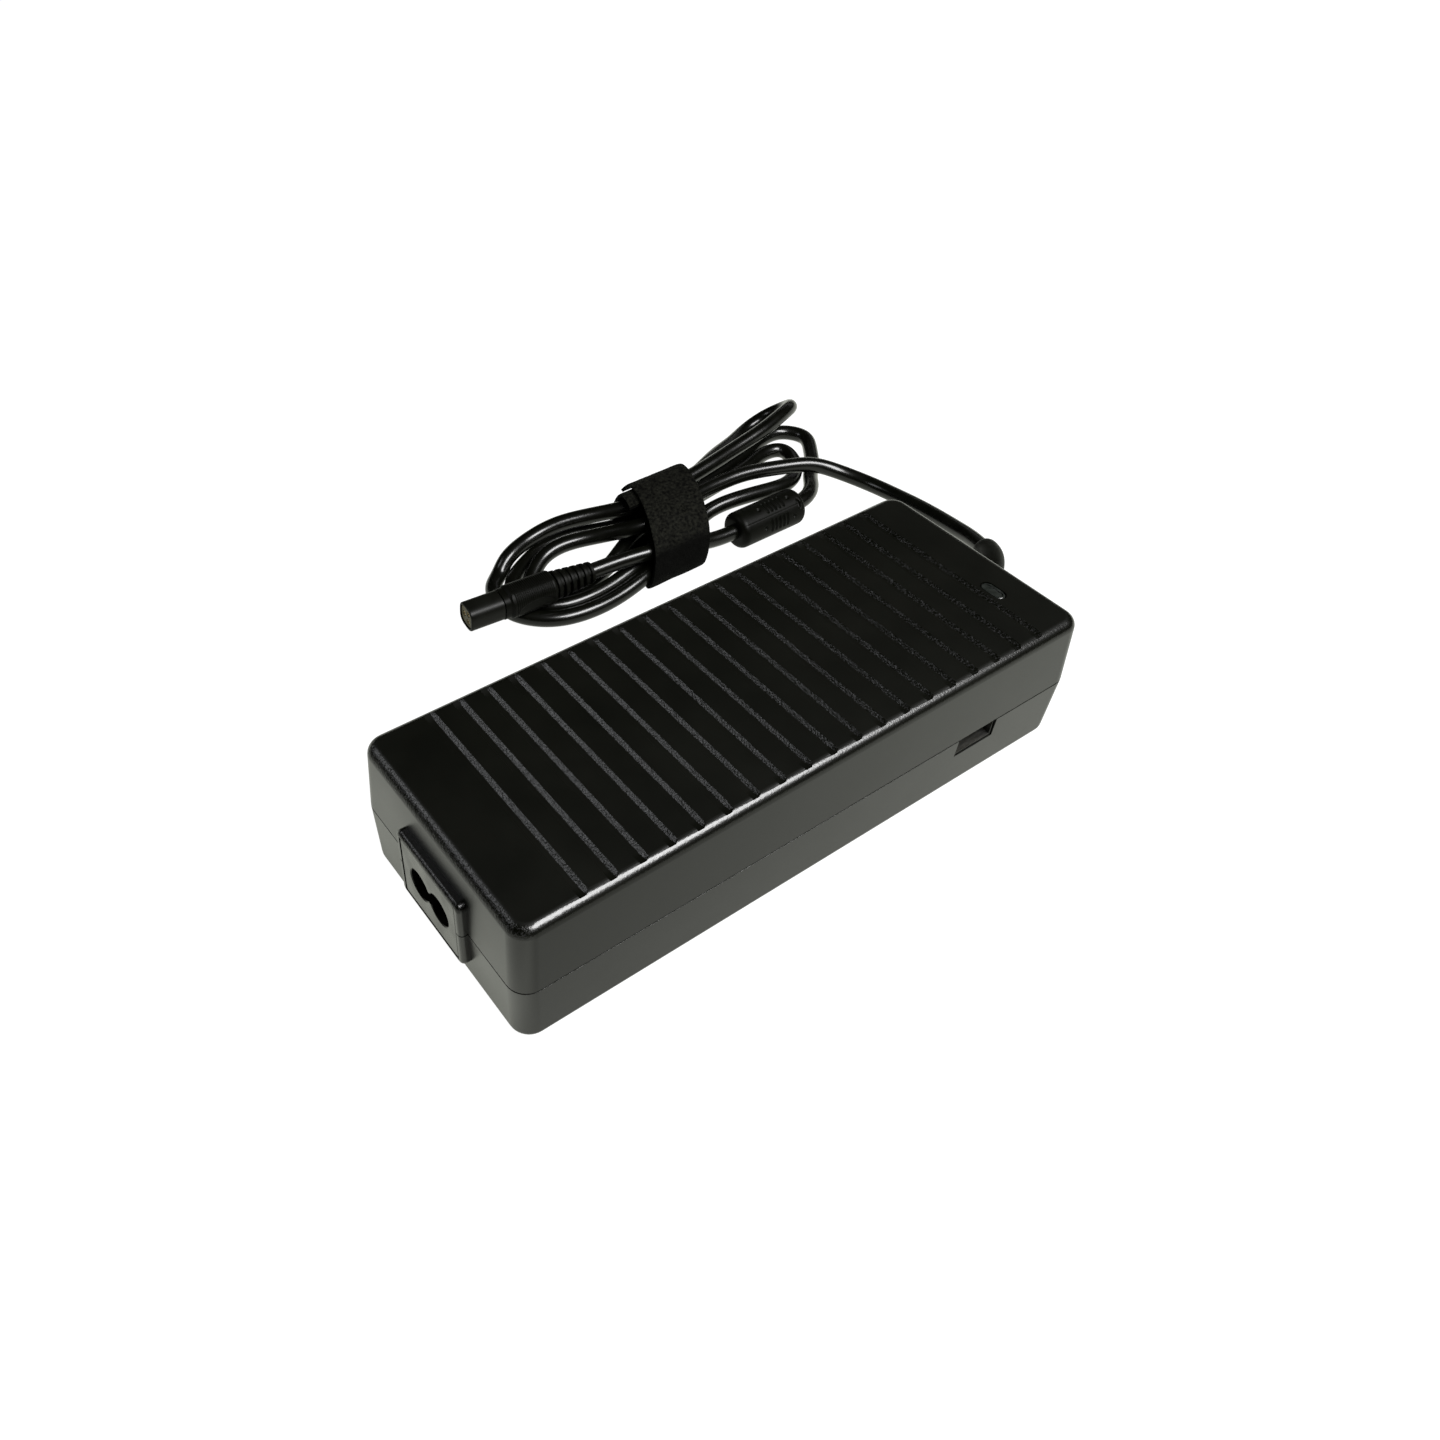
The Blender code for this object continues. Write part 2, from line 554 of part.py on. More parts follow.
def make_usb():
    left = USB_X - USB_WIDTH / 2 + GAP
    right = USB_X + USB_WIDTH / 2 - GAP
    floor = USB_FLOOR + GAP
    roof = PARTING - GAP / 2 - GAP
    back = USB_MOUTH_Y + 14.0
    sheet = 0.35
    shell = box("usb_shell", (left, USB_MOUTH_Y, floor), (right, back, roof), STEEL)
    cut(shell, box("usb_mouth", (left + sheet, USB_MOUTH_Y - 2, floor + sheet),
                   (right - sheet, back - sheet, roof - sheet)))
    edge = sheet + GAP
    joined_boxes("usb_tongue", [
        ((left + edge + 0.2, USB_MOUTH_Y + 1.2, 15.55), (right - edge - 0.2, back - 2.4, 17.0)),
        ((left + edge, back - 2.6, floor + edge), (right - edge, back - edge, roof - edge)),
    ], IVORY)
    for number, offset in enumerate((-3.5, -1.0, 1.0, 3.5)):
        box(f"usb_contact_{number + 1}", (USB_X + offset - 0.5, USB_MOUTH_Y + 1.8, 14.95),
            (USB_X + offset + 0.5, back - 3.0, 15.25), BRASS)
    box("usb_board", (39.0, -29.8, 11.2), (60.0, -14.0, 12.5), BOARD_GREEN)
    box("usb_board_header", (41.0, -16.5, SEAT), (58.0, -14.5, 10.9), CHIP_BLACK)


# ---------------------------------------------------------------- board and shields

def make_board_and_shields():
    box("main_board", (BOARD_MIN_X, -BOARD_HALF_Y, BOARD_BOTTOM),
        (BOARD_MAX_X, BOARD_HALF_Y, BOARD_TOP), BOARD_GREEN)
    tray = box("insulation_sheet", (-59, -28.6, 3.0), (77, 28.6, 7.4), SHEET_AMBER)
    cut(tray, box("tray_inside", (-58.6, -28.2, 3.4), (76.6, 28.2, 9)))
    box("lower_heat_spreader", (-56, -27, 3.8), (74, 27, 4.8), ALUMINIUM)
    box("upper_heat_spreader", (-56, -26, 33.4), (62, 26, 34.4), ALUMINIUM)


def make_heatsink(name, low_x, high_x, y, side):
    """An upright plate whose top edge is bent to one side."""
    lip = sorted((y, y + side * 6))
    joined_boxes(name, [((low_x, y - 1, SEAT), (high_x, y + 1, 32.4)),
                        ((low_x, lip[0], 31.2), (high_x, lip[1], 32.4))], ALUMINIUM)


def make_transistor(name, x, y, side):
    """A flat power device that stands on three legs against a heatsink."""
    face = sorted((y, y + side * 4.4))
    leg_y = y + side * 2.2
    body = box(name, (x - 5, face[0], 15.0), (x + 5, face[1], 30.2), CHIP_BLACK)
    for number in (-1, 0, 1):
        leg_x = x + number * 2.54
        fuse(body, box(f"{name}_leg_{number}", (leg_x - 0.4, leg_y - 0.3, SEAT),
                       (leg_x + 0.4, leg_y + 0.3, 15.5)))


def make_line_filter():
    cylinder("fuse", 2.6, (-54, -22, SEAT + 2.7), ALONG_X, 19, CERAMIC, 16)
    cylinder("varistor", 5.0, (-52, -14, SEAT + 5.1), ALONG_Y, 4, BLUE_DISC, 20)
    box("x_capacitor", (-53, -6.5, SEAT), (-39.5, 2.5, SEAT + 15), YELLOW_BOX)
    centre = (-44, 15, SEAT + 10.5)
    core = [(4.6, -2.5), (8.0, -2.5), (8.0, 2.5), (4.6, 2.5)]
    turned("choke_core", core, FERRITE_GREY, centre, ALONG_Y)
    outline = [(6.3 + 4.0 * math.sin(turn), -4.0 * math.cos(turn))
               for turn in (math.radians(15 + 30 * step) for step in range(12))]
    winding = turned("choke_winding", outline, COPPER, centre, ALONG_Y)
    spare = [(radius + (GAP if radius > 6 else -GAP), height * (2.5 + GAP) / 2.5)
             for radius, height in core]
    cut(winding, turned("choke_clearance", spare, None, centre, ALONG_Y))
    cut(winding, box("winding_split", (-46, 8, centre[2]), (-42, 24, SEAT + 30)))
    box("bridge_rectifier", (-34, -26, SEAT), (-12, -21.5, SEAT + 17), CHIP_BLACK)
    for number, x in enumerate((-12, 4)):
        cylinder(f"y_capacitor_{number + 1}", 4.0, (x, 22.5, SEAT + 4.2), ALONG_Y, 3.2,
                 BLUE_DISC, 16)


def make_power_stage():
    make_heatsink("primary_heatsink", -30, 8, -12, 1)
    make_transistor("switching_transistor_1", -21, -13.3, -1)
    make_transistor("switching_transistor_2", -2, -13.3, -1)
    cylinder("bulk_capacitor", 9.0, (-32, 9.5, SEAT + 9.2), ALONG_X, 31, CAN_BLUE)
    joined_boxes("boost_choke_core", [
        ((0, 0.5, SEAT), (12, 2.5, SEAT + 15)),
        ((0, 0.5, SEAT), (12, 14, SEAT + 2)),
        ((0, 12, SEAT), (12, 14, SEAT + 15)),
        ((4, 2, SEAT + 7), (8, 13, SEAT + 9)),
    ], FERRITE_GREY)
    coil = cylinder("boost_choke_winding", 5.0, (6, 2.8, SEAT + 8), ALONG_Y, 8.9, COPPER)
    cut(coil, box("boost_leg", (3.7, 0, SEAT + 6.7), (8.3, 16, SEAT + 9.3)))
    core = box("transformer_core", (14, -9, SEAT), (44, 9, SEAT + 22), FERRITE_GREY)
    for side in (-1, 1):
        near, far = sorted((side * 5.2, side * 11.8))
        cut(core, box(f"core_window_{side}", (29 + near, -12, SEAT + 3),
                      (29 + far, 12, SEAT + 19)))
    winding = cylinder("transformer_winding", 11.2, (29, 0, SEAT + 3.3), NO_TURN, 15.4,
                       YELLOW_TAPE)
    cut(winding, box("winding_leg", (23.5, -9.3, SEAT), (34.5, 9.3, SEAT + 22)))
    make_heatsink("secondary_heatsink", 46, 70, 12, 1)
    make_transistor("output_rectifier_1", 52, 10.7, -1)
    make_transistor("output_rectifier_2", 64, 10.7, -1)
    for number, (x, y) in enumerate(((52, -4), (64, -4), (58, 23))):
        cylinder(f"output_capacitor_{number + 1}", 4.8, (x, y, SEAT), NO_TURN, 20, CAN_BLUE, 20)
    box("control_chip", (13, -23, SEAT), (23, -17, SEAT + 2.4), CHIP_BLACK)
    box("optocoupler", (28, -22, SEAT), (33, -17, SEAT + 3.6), CERAMIC)


# ---------------------------------------------------------------- DC lead

def make_lead():
    tube("cord_strain_relief", BOOT_ROUTE, 5.0, SOFT_BLACK, BOOT_RADII, 3)
    tube("dc_cord", smooth_route(CORD_ROUTE, CORD_POINTS), CORD_RADIUS, CORD_BLACK)
    for side, pole in ((-1, "negative"), (1, "positive")):
        tube(f"output_wire_{pole}", [
            (77.4, EXIT_Y + side * 2.0, PARTING), (75.0, EXIT_Y + side * 2.0, PARTING),
            (73.0, EXIT_Y + side * 2.2, 16.5), (72.0, EXIT_Y + side * 2.4, 13.5),
            (71.8, EXIT_Y + side * 2.5, SEAT)], 1.0, RED_WIRE)


def make_ferrite():
    length = FERRITE_MAX_X - FERRITE_MIN_X
    wall = (length - FERRITE_CORE_LENGTH) / 2 - GAP
    outer = FERRITE_RADIUS
    cavity = FERRITE_CORE_RADIUS + GAP
    profile = [(FERRITE_BORE, 0), (3.4, 0), (outer - 1.0, 0.35), (outer - 0.3, 1.0), (outer, 2.0),
               (outer, length - 2.0), (outer - 0.3, length - 1.0), (outer - 1.0, length - 0.35),
               (3.4, length), (FERRITE_BORE, length), (FERRITE_BORE, length - wall),
               (cavity, length - wall), (cavity, wall), (FERRITE_BORE, wall)]
    turned("ferrite_cover", profile, SOFT_BLACK, frame=FERRITE)
    start = wall + GAP
    end = start + FERRITE_CORE_LENGTH
    core = [(FERRITE_BORE, start), (FERRITE_CORE_RADIUS, start), (FERRITE_CORE_RADIUS, end),
            (FERRITE_BORE, end)]
    turned("ferrite_core", core, FERRITE_GREY, frame=FERRITE)


def make_connector():
    inner = BARREL_RADIUS - 0.65
    barrel = [(inner, 0), (BARREL_RADIUS - 0.3, 0), (BARREL_RADIUS, 0.3),
              (BARREL_RADIUS, BARREL_LENGTH), (inner, BARREL_LENGTH)]
    turned("connector_barrel", barrel, GLOSS_BLACK, frame=CONNECTOR)
    block = cylinder("connector_insulator", inner - GAP, (0, 0, 0.25), NO_TURN,
                     BARREL_LENGTH - 0.5, INSULATOR, frame=CONNECTOR)
    for number in range(3):
        turn = math.radians(90 + 120 * number)
        middle = (1.55 * math.cos(turn), 1.55 * math.sin(turn))
        cut(block, cylinder(f"socket_hole_{number + 1}", 0.95, (*middle, -1.0), NO_TURN, 9.0,
                            sides=14, frame=CONNECTOR))
        sleeve = [(0.35, 0), (0.65, 0), (0.65, 7.2), (0.35, 7.2)]
        turned(f"connector_contact_{number + 1}", sleeve, BRASS, (*middle, 0.5), sides=12,
               frame=CONNECTOR)
    start = BARREL_LENGTH + GAP
    grip = [(0, start), (BARREL_RADIUS - 0.2, start), (BARREL_RADIUS - 0.2, start + 1.2),
            (GRIP_RADIUS - 0.2, start + 1.7)]
    ridge = start + 2.2
    while ridge < GRIP_END - 1.6:
        grip.append((GRIP_RADIUS, ridge))
        grip.append((GRIP_RADIUS - 0.15, ridge + 0.75))
        ridge += 1.5
    grip += [(GRIP_RADIUS - 0.1, GRIP_END - 0.8), (GRIP_RADIUS - 0.8, GRIP_END), (0, GRIP_END)]
    turned("connector_grip", grip, SOFT_BLACK, sides=20, frame=CONNECTOR, closed=False)
    height = GRIP_END + GAP
    boot = [(0, height)]
    for number in range(5):
        width = 4.3 - number * 0.22
        boot += [(width, height), (width, height + 1.4)]
        if number < 4:
            boot += [(width - 0.8, height + 1.5), (width - 0.85, height + 2.2)]
        height += 2.3
    boot += [(3.1, BOOT_END - 0.6), (2.8, BOOT_END), (0, BOOT_END)]
    turned("connector_boot", boot, SOFT_BLACK, sides=20, frame=CONNECTOR, closed=False)


def make_strap():
    """A ribbon that advances as it winds, given its thickness by a modifier."""
    ribbon = bmesh.new()
    previous = None
    for x, y, z in smooth_route(STRAP_ROUTE, 44):
        pair = [ribbon.verts.new((x + side * STRAP_WIDTH / 2, y, z)) for side in (-1, 1)]
        if previous:
            ribbon.faces.new((previous[0], previous[1], pair[1], pair[0]))
        previous = pair
    strap = place("cord_strap", to_mesh("cord_strap", ribbon), SOFT_BLACK)
    thick = strap.modifiers.new("thickness", 'SOLIDIFY')
    thick.thickness = STRAP_THICKNESS * MM
    thick.offset = 0.0
    thick.use_even_offset = True


make_shells()
make_label_and_lamp()
make_inlet()
make_usb()
make_board_and_shields()
make_line_filter()
make_power_stage()
make_lead()
make_ferrite()
make_connector()
make_strap()
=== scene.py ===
"""The looks of a laptop power adapter: a finned two-shell brick with a figure-8 mains inlet, a
USB port and a status lamp, and its DC lead folded into a hank under a hook-and-loop strap.

Shapes are drawn in millimetres from the middle of the brick's foot, as in the CAD model, and the
matrix BRICK takes them to metres in the row frame.
"""
import json
import math

import bmesh
import bpy
import numpy as np
from mathutils import Matrix, Vector, noise


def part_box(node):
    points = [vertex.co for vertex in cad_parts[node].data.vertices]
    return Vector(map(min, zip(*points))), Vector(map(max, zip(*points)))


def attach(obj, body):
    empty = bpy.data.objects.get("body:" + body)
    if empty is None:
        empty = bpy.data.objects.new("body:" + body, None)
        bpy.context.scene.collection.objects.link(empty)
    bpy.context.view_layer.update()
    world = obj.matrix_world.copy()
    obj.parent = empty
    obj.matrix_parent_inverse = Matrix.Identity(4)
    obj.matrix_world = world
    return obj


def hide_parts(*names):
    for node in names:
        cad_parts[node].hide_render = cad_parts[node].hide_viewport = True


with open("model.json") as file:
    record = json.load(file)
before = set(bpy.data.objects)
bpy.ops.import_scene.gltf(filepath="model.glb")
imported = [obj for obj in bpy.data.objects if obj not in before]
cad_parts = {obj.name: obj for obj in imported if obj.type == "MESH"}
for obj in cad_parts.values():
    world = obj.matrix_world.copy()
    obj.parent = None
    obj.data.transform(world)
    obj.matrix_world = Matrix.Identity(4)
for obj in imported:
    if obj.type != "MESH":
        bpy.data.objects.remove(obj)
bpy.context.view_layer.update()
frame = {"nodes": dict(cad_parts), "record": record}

# One millimetre in metres, and the clearance between neighbouring parts in millimetres
MM = 0.001
GAP = 0.3

# The brick
LENGTH = 165.0
WIDTH = 65.5
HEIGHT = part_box("upper_shell")[1].z / MM
PARTING = 18.3
TOP_INSET = 0.84
FOOT_INSET = 0.7
CORNER_RADIUS = 4.9
TOP_RADIUS = 2.6
FOOT_RADIUS = 2.5
WALL = 2.2
LIP_HEIGHT = 1.6
LIP_OFFSET = 1.1
SEAM_CHAMFER = 0.12

# Cooling grooves across the top
GROOVE_COUNT = 19
GROOVE_FIRST = -66.5
GROOVE_PITCH = 7.36
GROOVE_DEPTH = 0.7
GROOVE_FLOOR = 1.55
GROOVE_WIDTH = 2.75
# Near the top's long edges: how far inside the edge, and the share of the full depth there
GROOVE_RUN_OUT = [(-2, 0.16), (1.6, 0.16), (2.3, 0.30), (3.2, 0.62), (4.2, 0.90), (5.4, 1.0)]

# Mains inlet, on the -X end
INLET_Z = 17.7
INLET_FACE = -84.2
INLET_WIDTH = 22.2
INLET_HEIGHT = 17.6
COLLAR_FACE = -84.3
COLLAR_WIDTH = 26.2
COLLAR_HEIGHT = 20.6
COLLAR_CORNER = 1.9
COLLAR_EDGE = 1.1
LOBE_RADIUS = 3.95
LOBE_SPACING = 8.0
RECESS_DEPTH = 14.0
PIN_RADIUS = 1.2
# Heights below and above the whole brick, for cutting the collar at the parting line
UNDER_ALL = -10
OVER_ALL = 60

# USB port, on the -Y side
USB_X = 49.3
USB_WIDTH = 13.2
USB_FLOOR = 12.6

# Status lamp, in the top
LAMP_X = 71.3
LAMP_Y = -12.2
LAMP_WIDTH = 3.0
LAMP_LENGTH = 6.8
LENS_BOTTOM = 31.8
LENS_FLANGE_LOW = 33.9
LENS_FLANGE_HIGH = 34.8
LENS_RIM = 0.5
LENS_DISH_DEPTH = 0.3

# DC lead
CORD_DIAMETER = 4.76
EXIT = (82.5, 7.0, PARTING)
BOOT_ROUTE = [
    (77.8, 7.0, PARTING), (79.6, 7.0, PARTING), (79.8, 7.0, PARTING), (82.9, 7.0, PARTING),
    (83.1, 7.0, PARTING), (87.5, 7.0, PARTING), (92.0, 7.1, 18.3), (97.5, 8.2, 18.1),
    (101.0, 10.0, 17.85), (104.2, 12.6, 17.4), (106.2, 15.3, 16.9), (107.05, 17.0, 16.55),
]
BOOT_RADII = [5.4, 5.4, 4.1, 4.1, 5.4, 5.3, 5.0, 4.6, 4.3, 4.0, 3.7, 3.4]
CORD_ROUTE = [
    # along the end of the brick, then over the hank
    (107.25, 17.4, 16.47), (109.6, 23.0, 15.1), (111.6, 30.0, 13.4), (113.2, 38.5, 11.7),
    (114.4, 47.5, 10.0), (115.0, 56.0, 8.4), (114.4, 64.5, 7.5), (112.0, 71.5, 7.8),
    (107.9, 77.2, 9.2), (101.8, 81.6, 11.2), (93.0, 84.9, 12.0), (80.4, 87.9, 12.8),
    (71.1, 88.7, 12.8),
    # under the top of the strap, inner loop on the left
    (60.0, 88.0, 13.0), (50.0, 85.8, 13.3), (42.0, 84.4, 13.0), (34.0, 87.4, 11.2),
    (26.0, 93.2, 8.4), (16.4, 96.6, 7.2), (9.5, 96.3, 6.0), (4.3, 93.7, 4.6),
    (0.6, 89.6, 3.0), (3.4, 84.9, 2.6), (9.2, 82.3, 2.6), (17.0, 82.6, 2.6),
    (26.5, 85.6, 3.0), (34.5, 89.4, 3.9),
    # along the bottom of the strap, inner loop on the right
    (42.0, 92.2, 4.1), (50.0, 94.0, 3.8), (60.0, 95.2, 3.8), (71.0, 97.0, 3.9),
    (82.8, 99.1, 3.4), (93.5, 101.7, 2.8), (103.0, 104.3, 2.6), (108.9, 102.7, 2.6),
    (108.4, 96.6, 2.8), (102.4, 88.9, 4.0), (94.7, 84.4, 5.4), (85.7, 84.0, 6.4),
    (71.5, 85.2, 7.3),
    # strap, outer loop on the left
    (60.0, 84.8, 6.2), (50.0, 80.0, 4.4), (42.0, 77.2, 4.1), (34.0, 75.0, 4.0),
    (27.0, 73.3, 3.5), (19.0, 72.2, 2.7), (10.0, 71.8, 2.6), (0.9, 73.6, 2.6), (-5.8, 77.9, 2.6),
    (-9.8, 84.0, 2.6), (-10.2, 90.0, 2.6), (-8.5, 96.0, 2.6), (-3.6, 100.5, 2.8),
    (0.5, 102.4, 5.4), (10.1, 105.2, 6.7), (20.2, 104.1, 8.9), (32.2, 99.3, 10.6),
    (41.0, 94.6, 12.7),
    # strap, raised loop on the right
    (50.0, 94.0, 13.3), (60.0, 95.3, 13.4), (72.0, 96.6, 14.2), (84.0, 98.2, 15.2),
    (96.0, 99.4, 16.8), (106.0, 101.9, 17.5), (113.1, 105.4, 16.3), (116.2, 110.6, 12.4),
    (113.2, 115.9, 7.5), (106.2, 117.0, 4.5), (97.0, 113.6, 4.6), (86.0, 108.6, 6.8),
    (76.0, 103.3, 8.8),
    # strap, middle loop on the left
    (64.0, 98.1, 8.6), (56.0, 92.4, 8.6), (50.0, 87.6, 8.5), (45.0, 83.8, 7.2),
    (40.0, 82.0, 5.6), (34.0, 80.0, 4.4), (27.0, 78.3, 3.5), (19.0, 77.2, 2.7),
    (9.0, 77.0, 2.6),
    (1.7, 79.2, 2.6), (-3.3, 83.4, 2.6), (-5.1, 88.8, 2.6), (-3.7, 93.2, 2.6),
    (0.1, 97.2, 2.6), (6.4, 100.8, 2.6), (12.8, 103.5, 2.6), (19.5, 104.4, 2.6),
    (27.4, 103.2, 2.8), (36.0, 99.2, 3.7),
    # strap, long loop on the right and round to the ferrite
    (45.1, 98.5, 4.1), (56.0, 100.0, 4.2), (66.0, 101.6, 3.8), (76.0, 103.2, 2.9),
    (86.0, 105.4, 2.6), (96.0, 107.8, 2.6), (105.6, 110.7, 2.6), (114.4, 111.6, 2.6),
    (119.1, 108.4, 2.6), (120.6, 103.5, 2.6), (117.0, 97.1, 2.6), (112.4, 91.4, 2.6),
    (106.9, 86.1, 2.7), (101.7, 80.4, 4.2), (95.2, 75.4, 5.7), (88.5, 73.8, 5.9),
    # ferrite, strap, connector
    (76.0, 73.7, 5.9), (63.5, 73.7, 5.9), (54.0, 74.0, 6.6), (45.0, 74.6, 8.8),
    (36.0, 76.0, 9.6), (26.0, 77.9, 9.55), (14.4, 78.8, 9.7),
]

# Ferrite sleeve on the lead
FERRITE_MIN_X = 63.7
FERRITE_MAX_X = 88.5
FERRITE_Y = 73.7
FERRITE_Z = 5.9
FERRITE_RADIUS = 5.7
FERRITE_FACING = 225
FERRITE_RIBS = 5
FERRITE_RIB_FIRST = 10.6
FERRITE_RIB_PITCH = 1.55

# Connector at the end of the lead; its own axis starts at the tip
TIP = Vector((-26.0, 81.8, 10.2))
TIP_DIRECTION = Vector((0.9972, -0.0746, -0.0124))
BARREL_RADIUS = 4.1
BARREL_LENGTH = 10.4
GRIP_RADIUS = 4.9
GRIP_END = 27.4
BOOT_END = 40.1
GRIP_FACING = 283

# Hook-and-loop strap, from its inner end round the hank and over itself
STRAP_WIDTH = 20.0
STRAP_THICKNESS = 1.0
STRAP_ROUTE = [
    (45.9, 89.5, 16.6), (47.2, 93.2, 16.7), (48.3, 96.8, 16.1), (49.1, 100.1, 13.1),
    (49.6, 102.6, 8.4), (49.7, 104.0, 4.2), (49.0, 102.6, 1.2), (47.9, 99.0, 0.65),
    (46.3, 93.0, 0.65), (44.6, 87.0, 0.65), (42.9, 81.0, 0.65), (41.2, 75.8, 0.65),
    (40.2, 72.3, 0.85), (40.3, 70.6, 3.8), (41.3, 71.0, 8.2), (42.9, 73.2, 12.3),
    (45.1, 78.0, 15.5), (47.4, 83.5, 17.4), (49.7, 89.5, 18.0), (51.1, 93.8, 18.0),
    (52.3, 97.8, 17.2), (52.9, 101.0, 15.1), (53.0, 103.2, 12.4),
]

BRICK_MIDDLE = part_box("upper_shell")[1].x - LENGTH / 2 * MM
BRICK = Matrix.Translation((BRICK_MIDDLE, 0, 0)) @ Matrix.Scale(MM, 4)


# ---------------------------------------------------------------- camera, lights, floor

def make_camera():
    """A camera high over the near-left corner of the brick, looking down its long side."""
    data = bpy.data.cameras.new("camera")
    data.sensor_width = 36.0
    data.lens = 31.406
    data.shift_x = 0.10266
    data.shift_y = -0.03092
    data.clip_start = 0.01
    camera = bpy.data.objects.new("camera", data)
    right = Vector((0.82146068, -0.57026516, 0.0))
    up = Vector((0.3912268, 0.56355789, 0.72756037))
    back = Vector((-0.41490233, -0.59766224, 0.68604366))
    camera.matrix_world = Matrix.LocRotScale(
        Vector((-150.6735, -150.4519, 235.5161)) * MM,
        Matrix((right, up, back)).transposed().to_quaternion(), None)
    bpy.context.scene.collection.objects.link(camera)
    bpy.context.scene.camera = camera


# The soft lights: name, place, the point each faces, width and height in metres, watts, colour
WHITE = (1.0, 1.0, 1.0)
SOFT_LIGHTS = [
    ("key_softbox", (0.17, -0.34, 0.58), (0.10, -0.14, 0.02), (0.52, 0.26), 15.0, WHITE),
    ("ramp_softbox", (-0.21, 0.18, 0.25), (-0.05, 0.0, 0.03), (0.15, 0.10), 0.24,
     (0.95, 0.97, 1.0)),
    ("rim_strip", (0.50, 0.40, 0.20), (0.08, 0.0, 0.03), (0.60, 0.06), 0.06, WHITE),
]


def area_light(name, location, target, size, power, colour):
    """A rectangular soft light that faces a target."""
    data = bpy.data.lights.new(name, 'AREA')
    data.shape = 'RECTANGLE'
    data.size, data.size_y = size
    data.energy = power
    data.color = colour
    light = bpy.data.objects.new(name, data)
    light.location = location
    aim = Vector(target) - Vector(location)
    light.rotation_euler = aim.to_track_quat('-Z', 'Y').to_euler()
    bpy.context.scene.collection.objects.link(light)


def make_lights():
    for light in SOFT_LIGHTS:
        area_light(*light)


# How bright the world is to the camera, and to everything else
BACKDROP_STRENGTH = 0.97
ROOM_STRENGTH = 0.004


def make_world():
    """A pale backdrop for the camera, and a dim room for everything else."""
    world = bpy.data.worlds.new("studio")
    world.use_nodes = True
    nodes, links = world.node_tree.nodes, world.node_tree.links
    background = nodes["Background"]
    path = nodes.new("ShaderNodeLightPath")
    strength = nodes.new("ShaderNodeMapRange")
    strength.inputs["To Min"].default_value = ROOM_STRENGTH
    strength.inputs["To Max"].default_value = BACKDROP_STRENGTH
    links.new(path.outputs["Is Camera Ray"], strength.inputs["Value"])
    links.new(strength.outputs["Result"], background.inputs["Strength"])
    background.inputs["Color"].default_value = (1.0, 1.0, 0.99, 1.0)
    bpy.context.scene.world = world
    bpy.context.scene.view_settings.view_transform = 'Standard'


# How strongly the floor glows in reflections: pairs of a place along X in metres and a strength.
FLOOR_GLOW = [(-0.25, 0.50), (-0.105, 0.85), (-0.09, 1.25), (-0.075, 0.52), (0.0, 0.66),
              (0.08, 0.86)]
FLOOR_FROM = -0.25
FLOOR_TO = 0.15
# The tint of that glow, what the camera sees instead, and the strength that multiplies both
FLOOR_TINT = (0.485, 0.5, 0.44)
FLOOR_SEEN = (0.5, 0.5, 0.5)
FLOOR_STRENGTH = 2.0


def make_floor():
    """A white lightbox floor, which glows enough that the object casts only a faint shadow."""
    mesh_data = bmesh.new()
    bmesh.ops.create_grid(mesh_data, x_segments=2, y_segments=2, size=6.0)
    mesh = bpy.data.meshes.new("floor")
    mesh_data.to_mesh(mesh)
    mesh_data.free()
    floor = bpy.data.objects.new("floor", mesh)
    floor.location.z = -0.0002
    material = bpy.data.materials.new("white_floor")
    material.use_nodes = True
    shader = material.node_tree.nodes["Principled BSDF"]
    shader.inputs["Base Color"].default_value = (0.08, 0.08, 0.08, 1.0)
    shader.inputs["Roughness"].default_value = 0.9
    shader.inputs["Specular IOR Level"].default_value = 0.0
    nodes, links = material.node_tree.nodes, material.node_tree.links
    split = nodes.new("ShaderNodeSeparateXYZ")
    links.new(nodes.new("ShaderNodeTexCoord").outputs["Object"], split.inputs["Vector"])
    place = map_range(nodes, links, split.outputs["X"], 0.0, 1.0, FLOOR_FROM, FLOOR_TO)
    glow = nodes.new("ShaderNodeValToRGB")
    links.new(place, glow.inputs["Fac"])
    stops = glow.color_ramp.elements
    for number, (x, strength) in enumerate(FLOOR_GLOW):
        if number >= len(stops):
            stops.new(1.0)
        stops[number].position = (x - FLOOR_FROM) / (FLOOR_TO - FLOOR_FROM)
        stops[number].color = (*(strength * channel for channel in FLOOR_TINT), 1.0)
    seen = nodes.new("ShaderNodeLightPath").outputs["Is Camera Ray"]
    links.new(mix_colour(nodes, links, seen, glow.outputs["Color"], FLOOR_SEEN),
              shader.inputs["Emission Color"])
    shader.inputs["Emission Strength"].default_value = FLOOR_STRENGTH
    mesh.materials.append(material)
    bpy.context.scene.collection.objects.link(floor)


# ---------------------------------------------------------------- shapes

def new_object(name, mesh):
    thing = bpy.data.objects.new(name, mesh)
    bpy.context.scene.collection.objects.link(thing)
    return thing


def solid(name, mesh_data):
    """A working object in millimetres, for Booleans."""
    bmesh.ops.recalc_face_normals(mesh_data, faces=mesh_data.faces)
    mesh = bpy.data.meshes.new(name)
    mesh_data.to_mesh(mesh)
    mesh_data.free()
    return new_object(name, mesh)


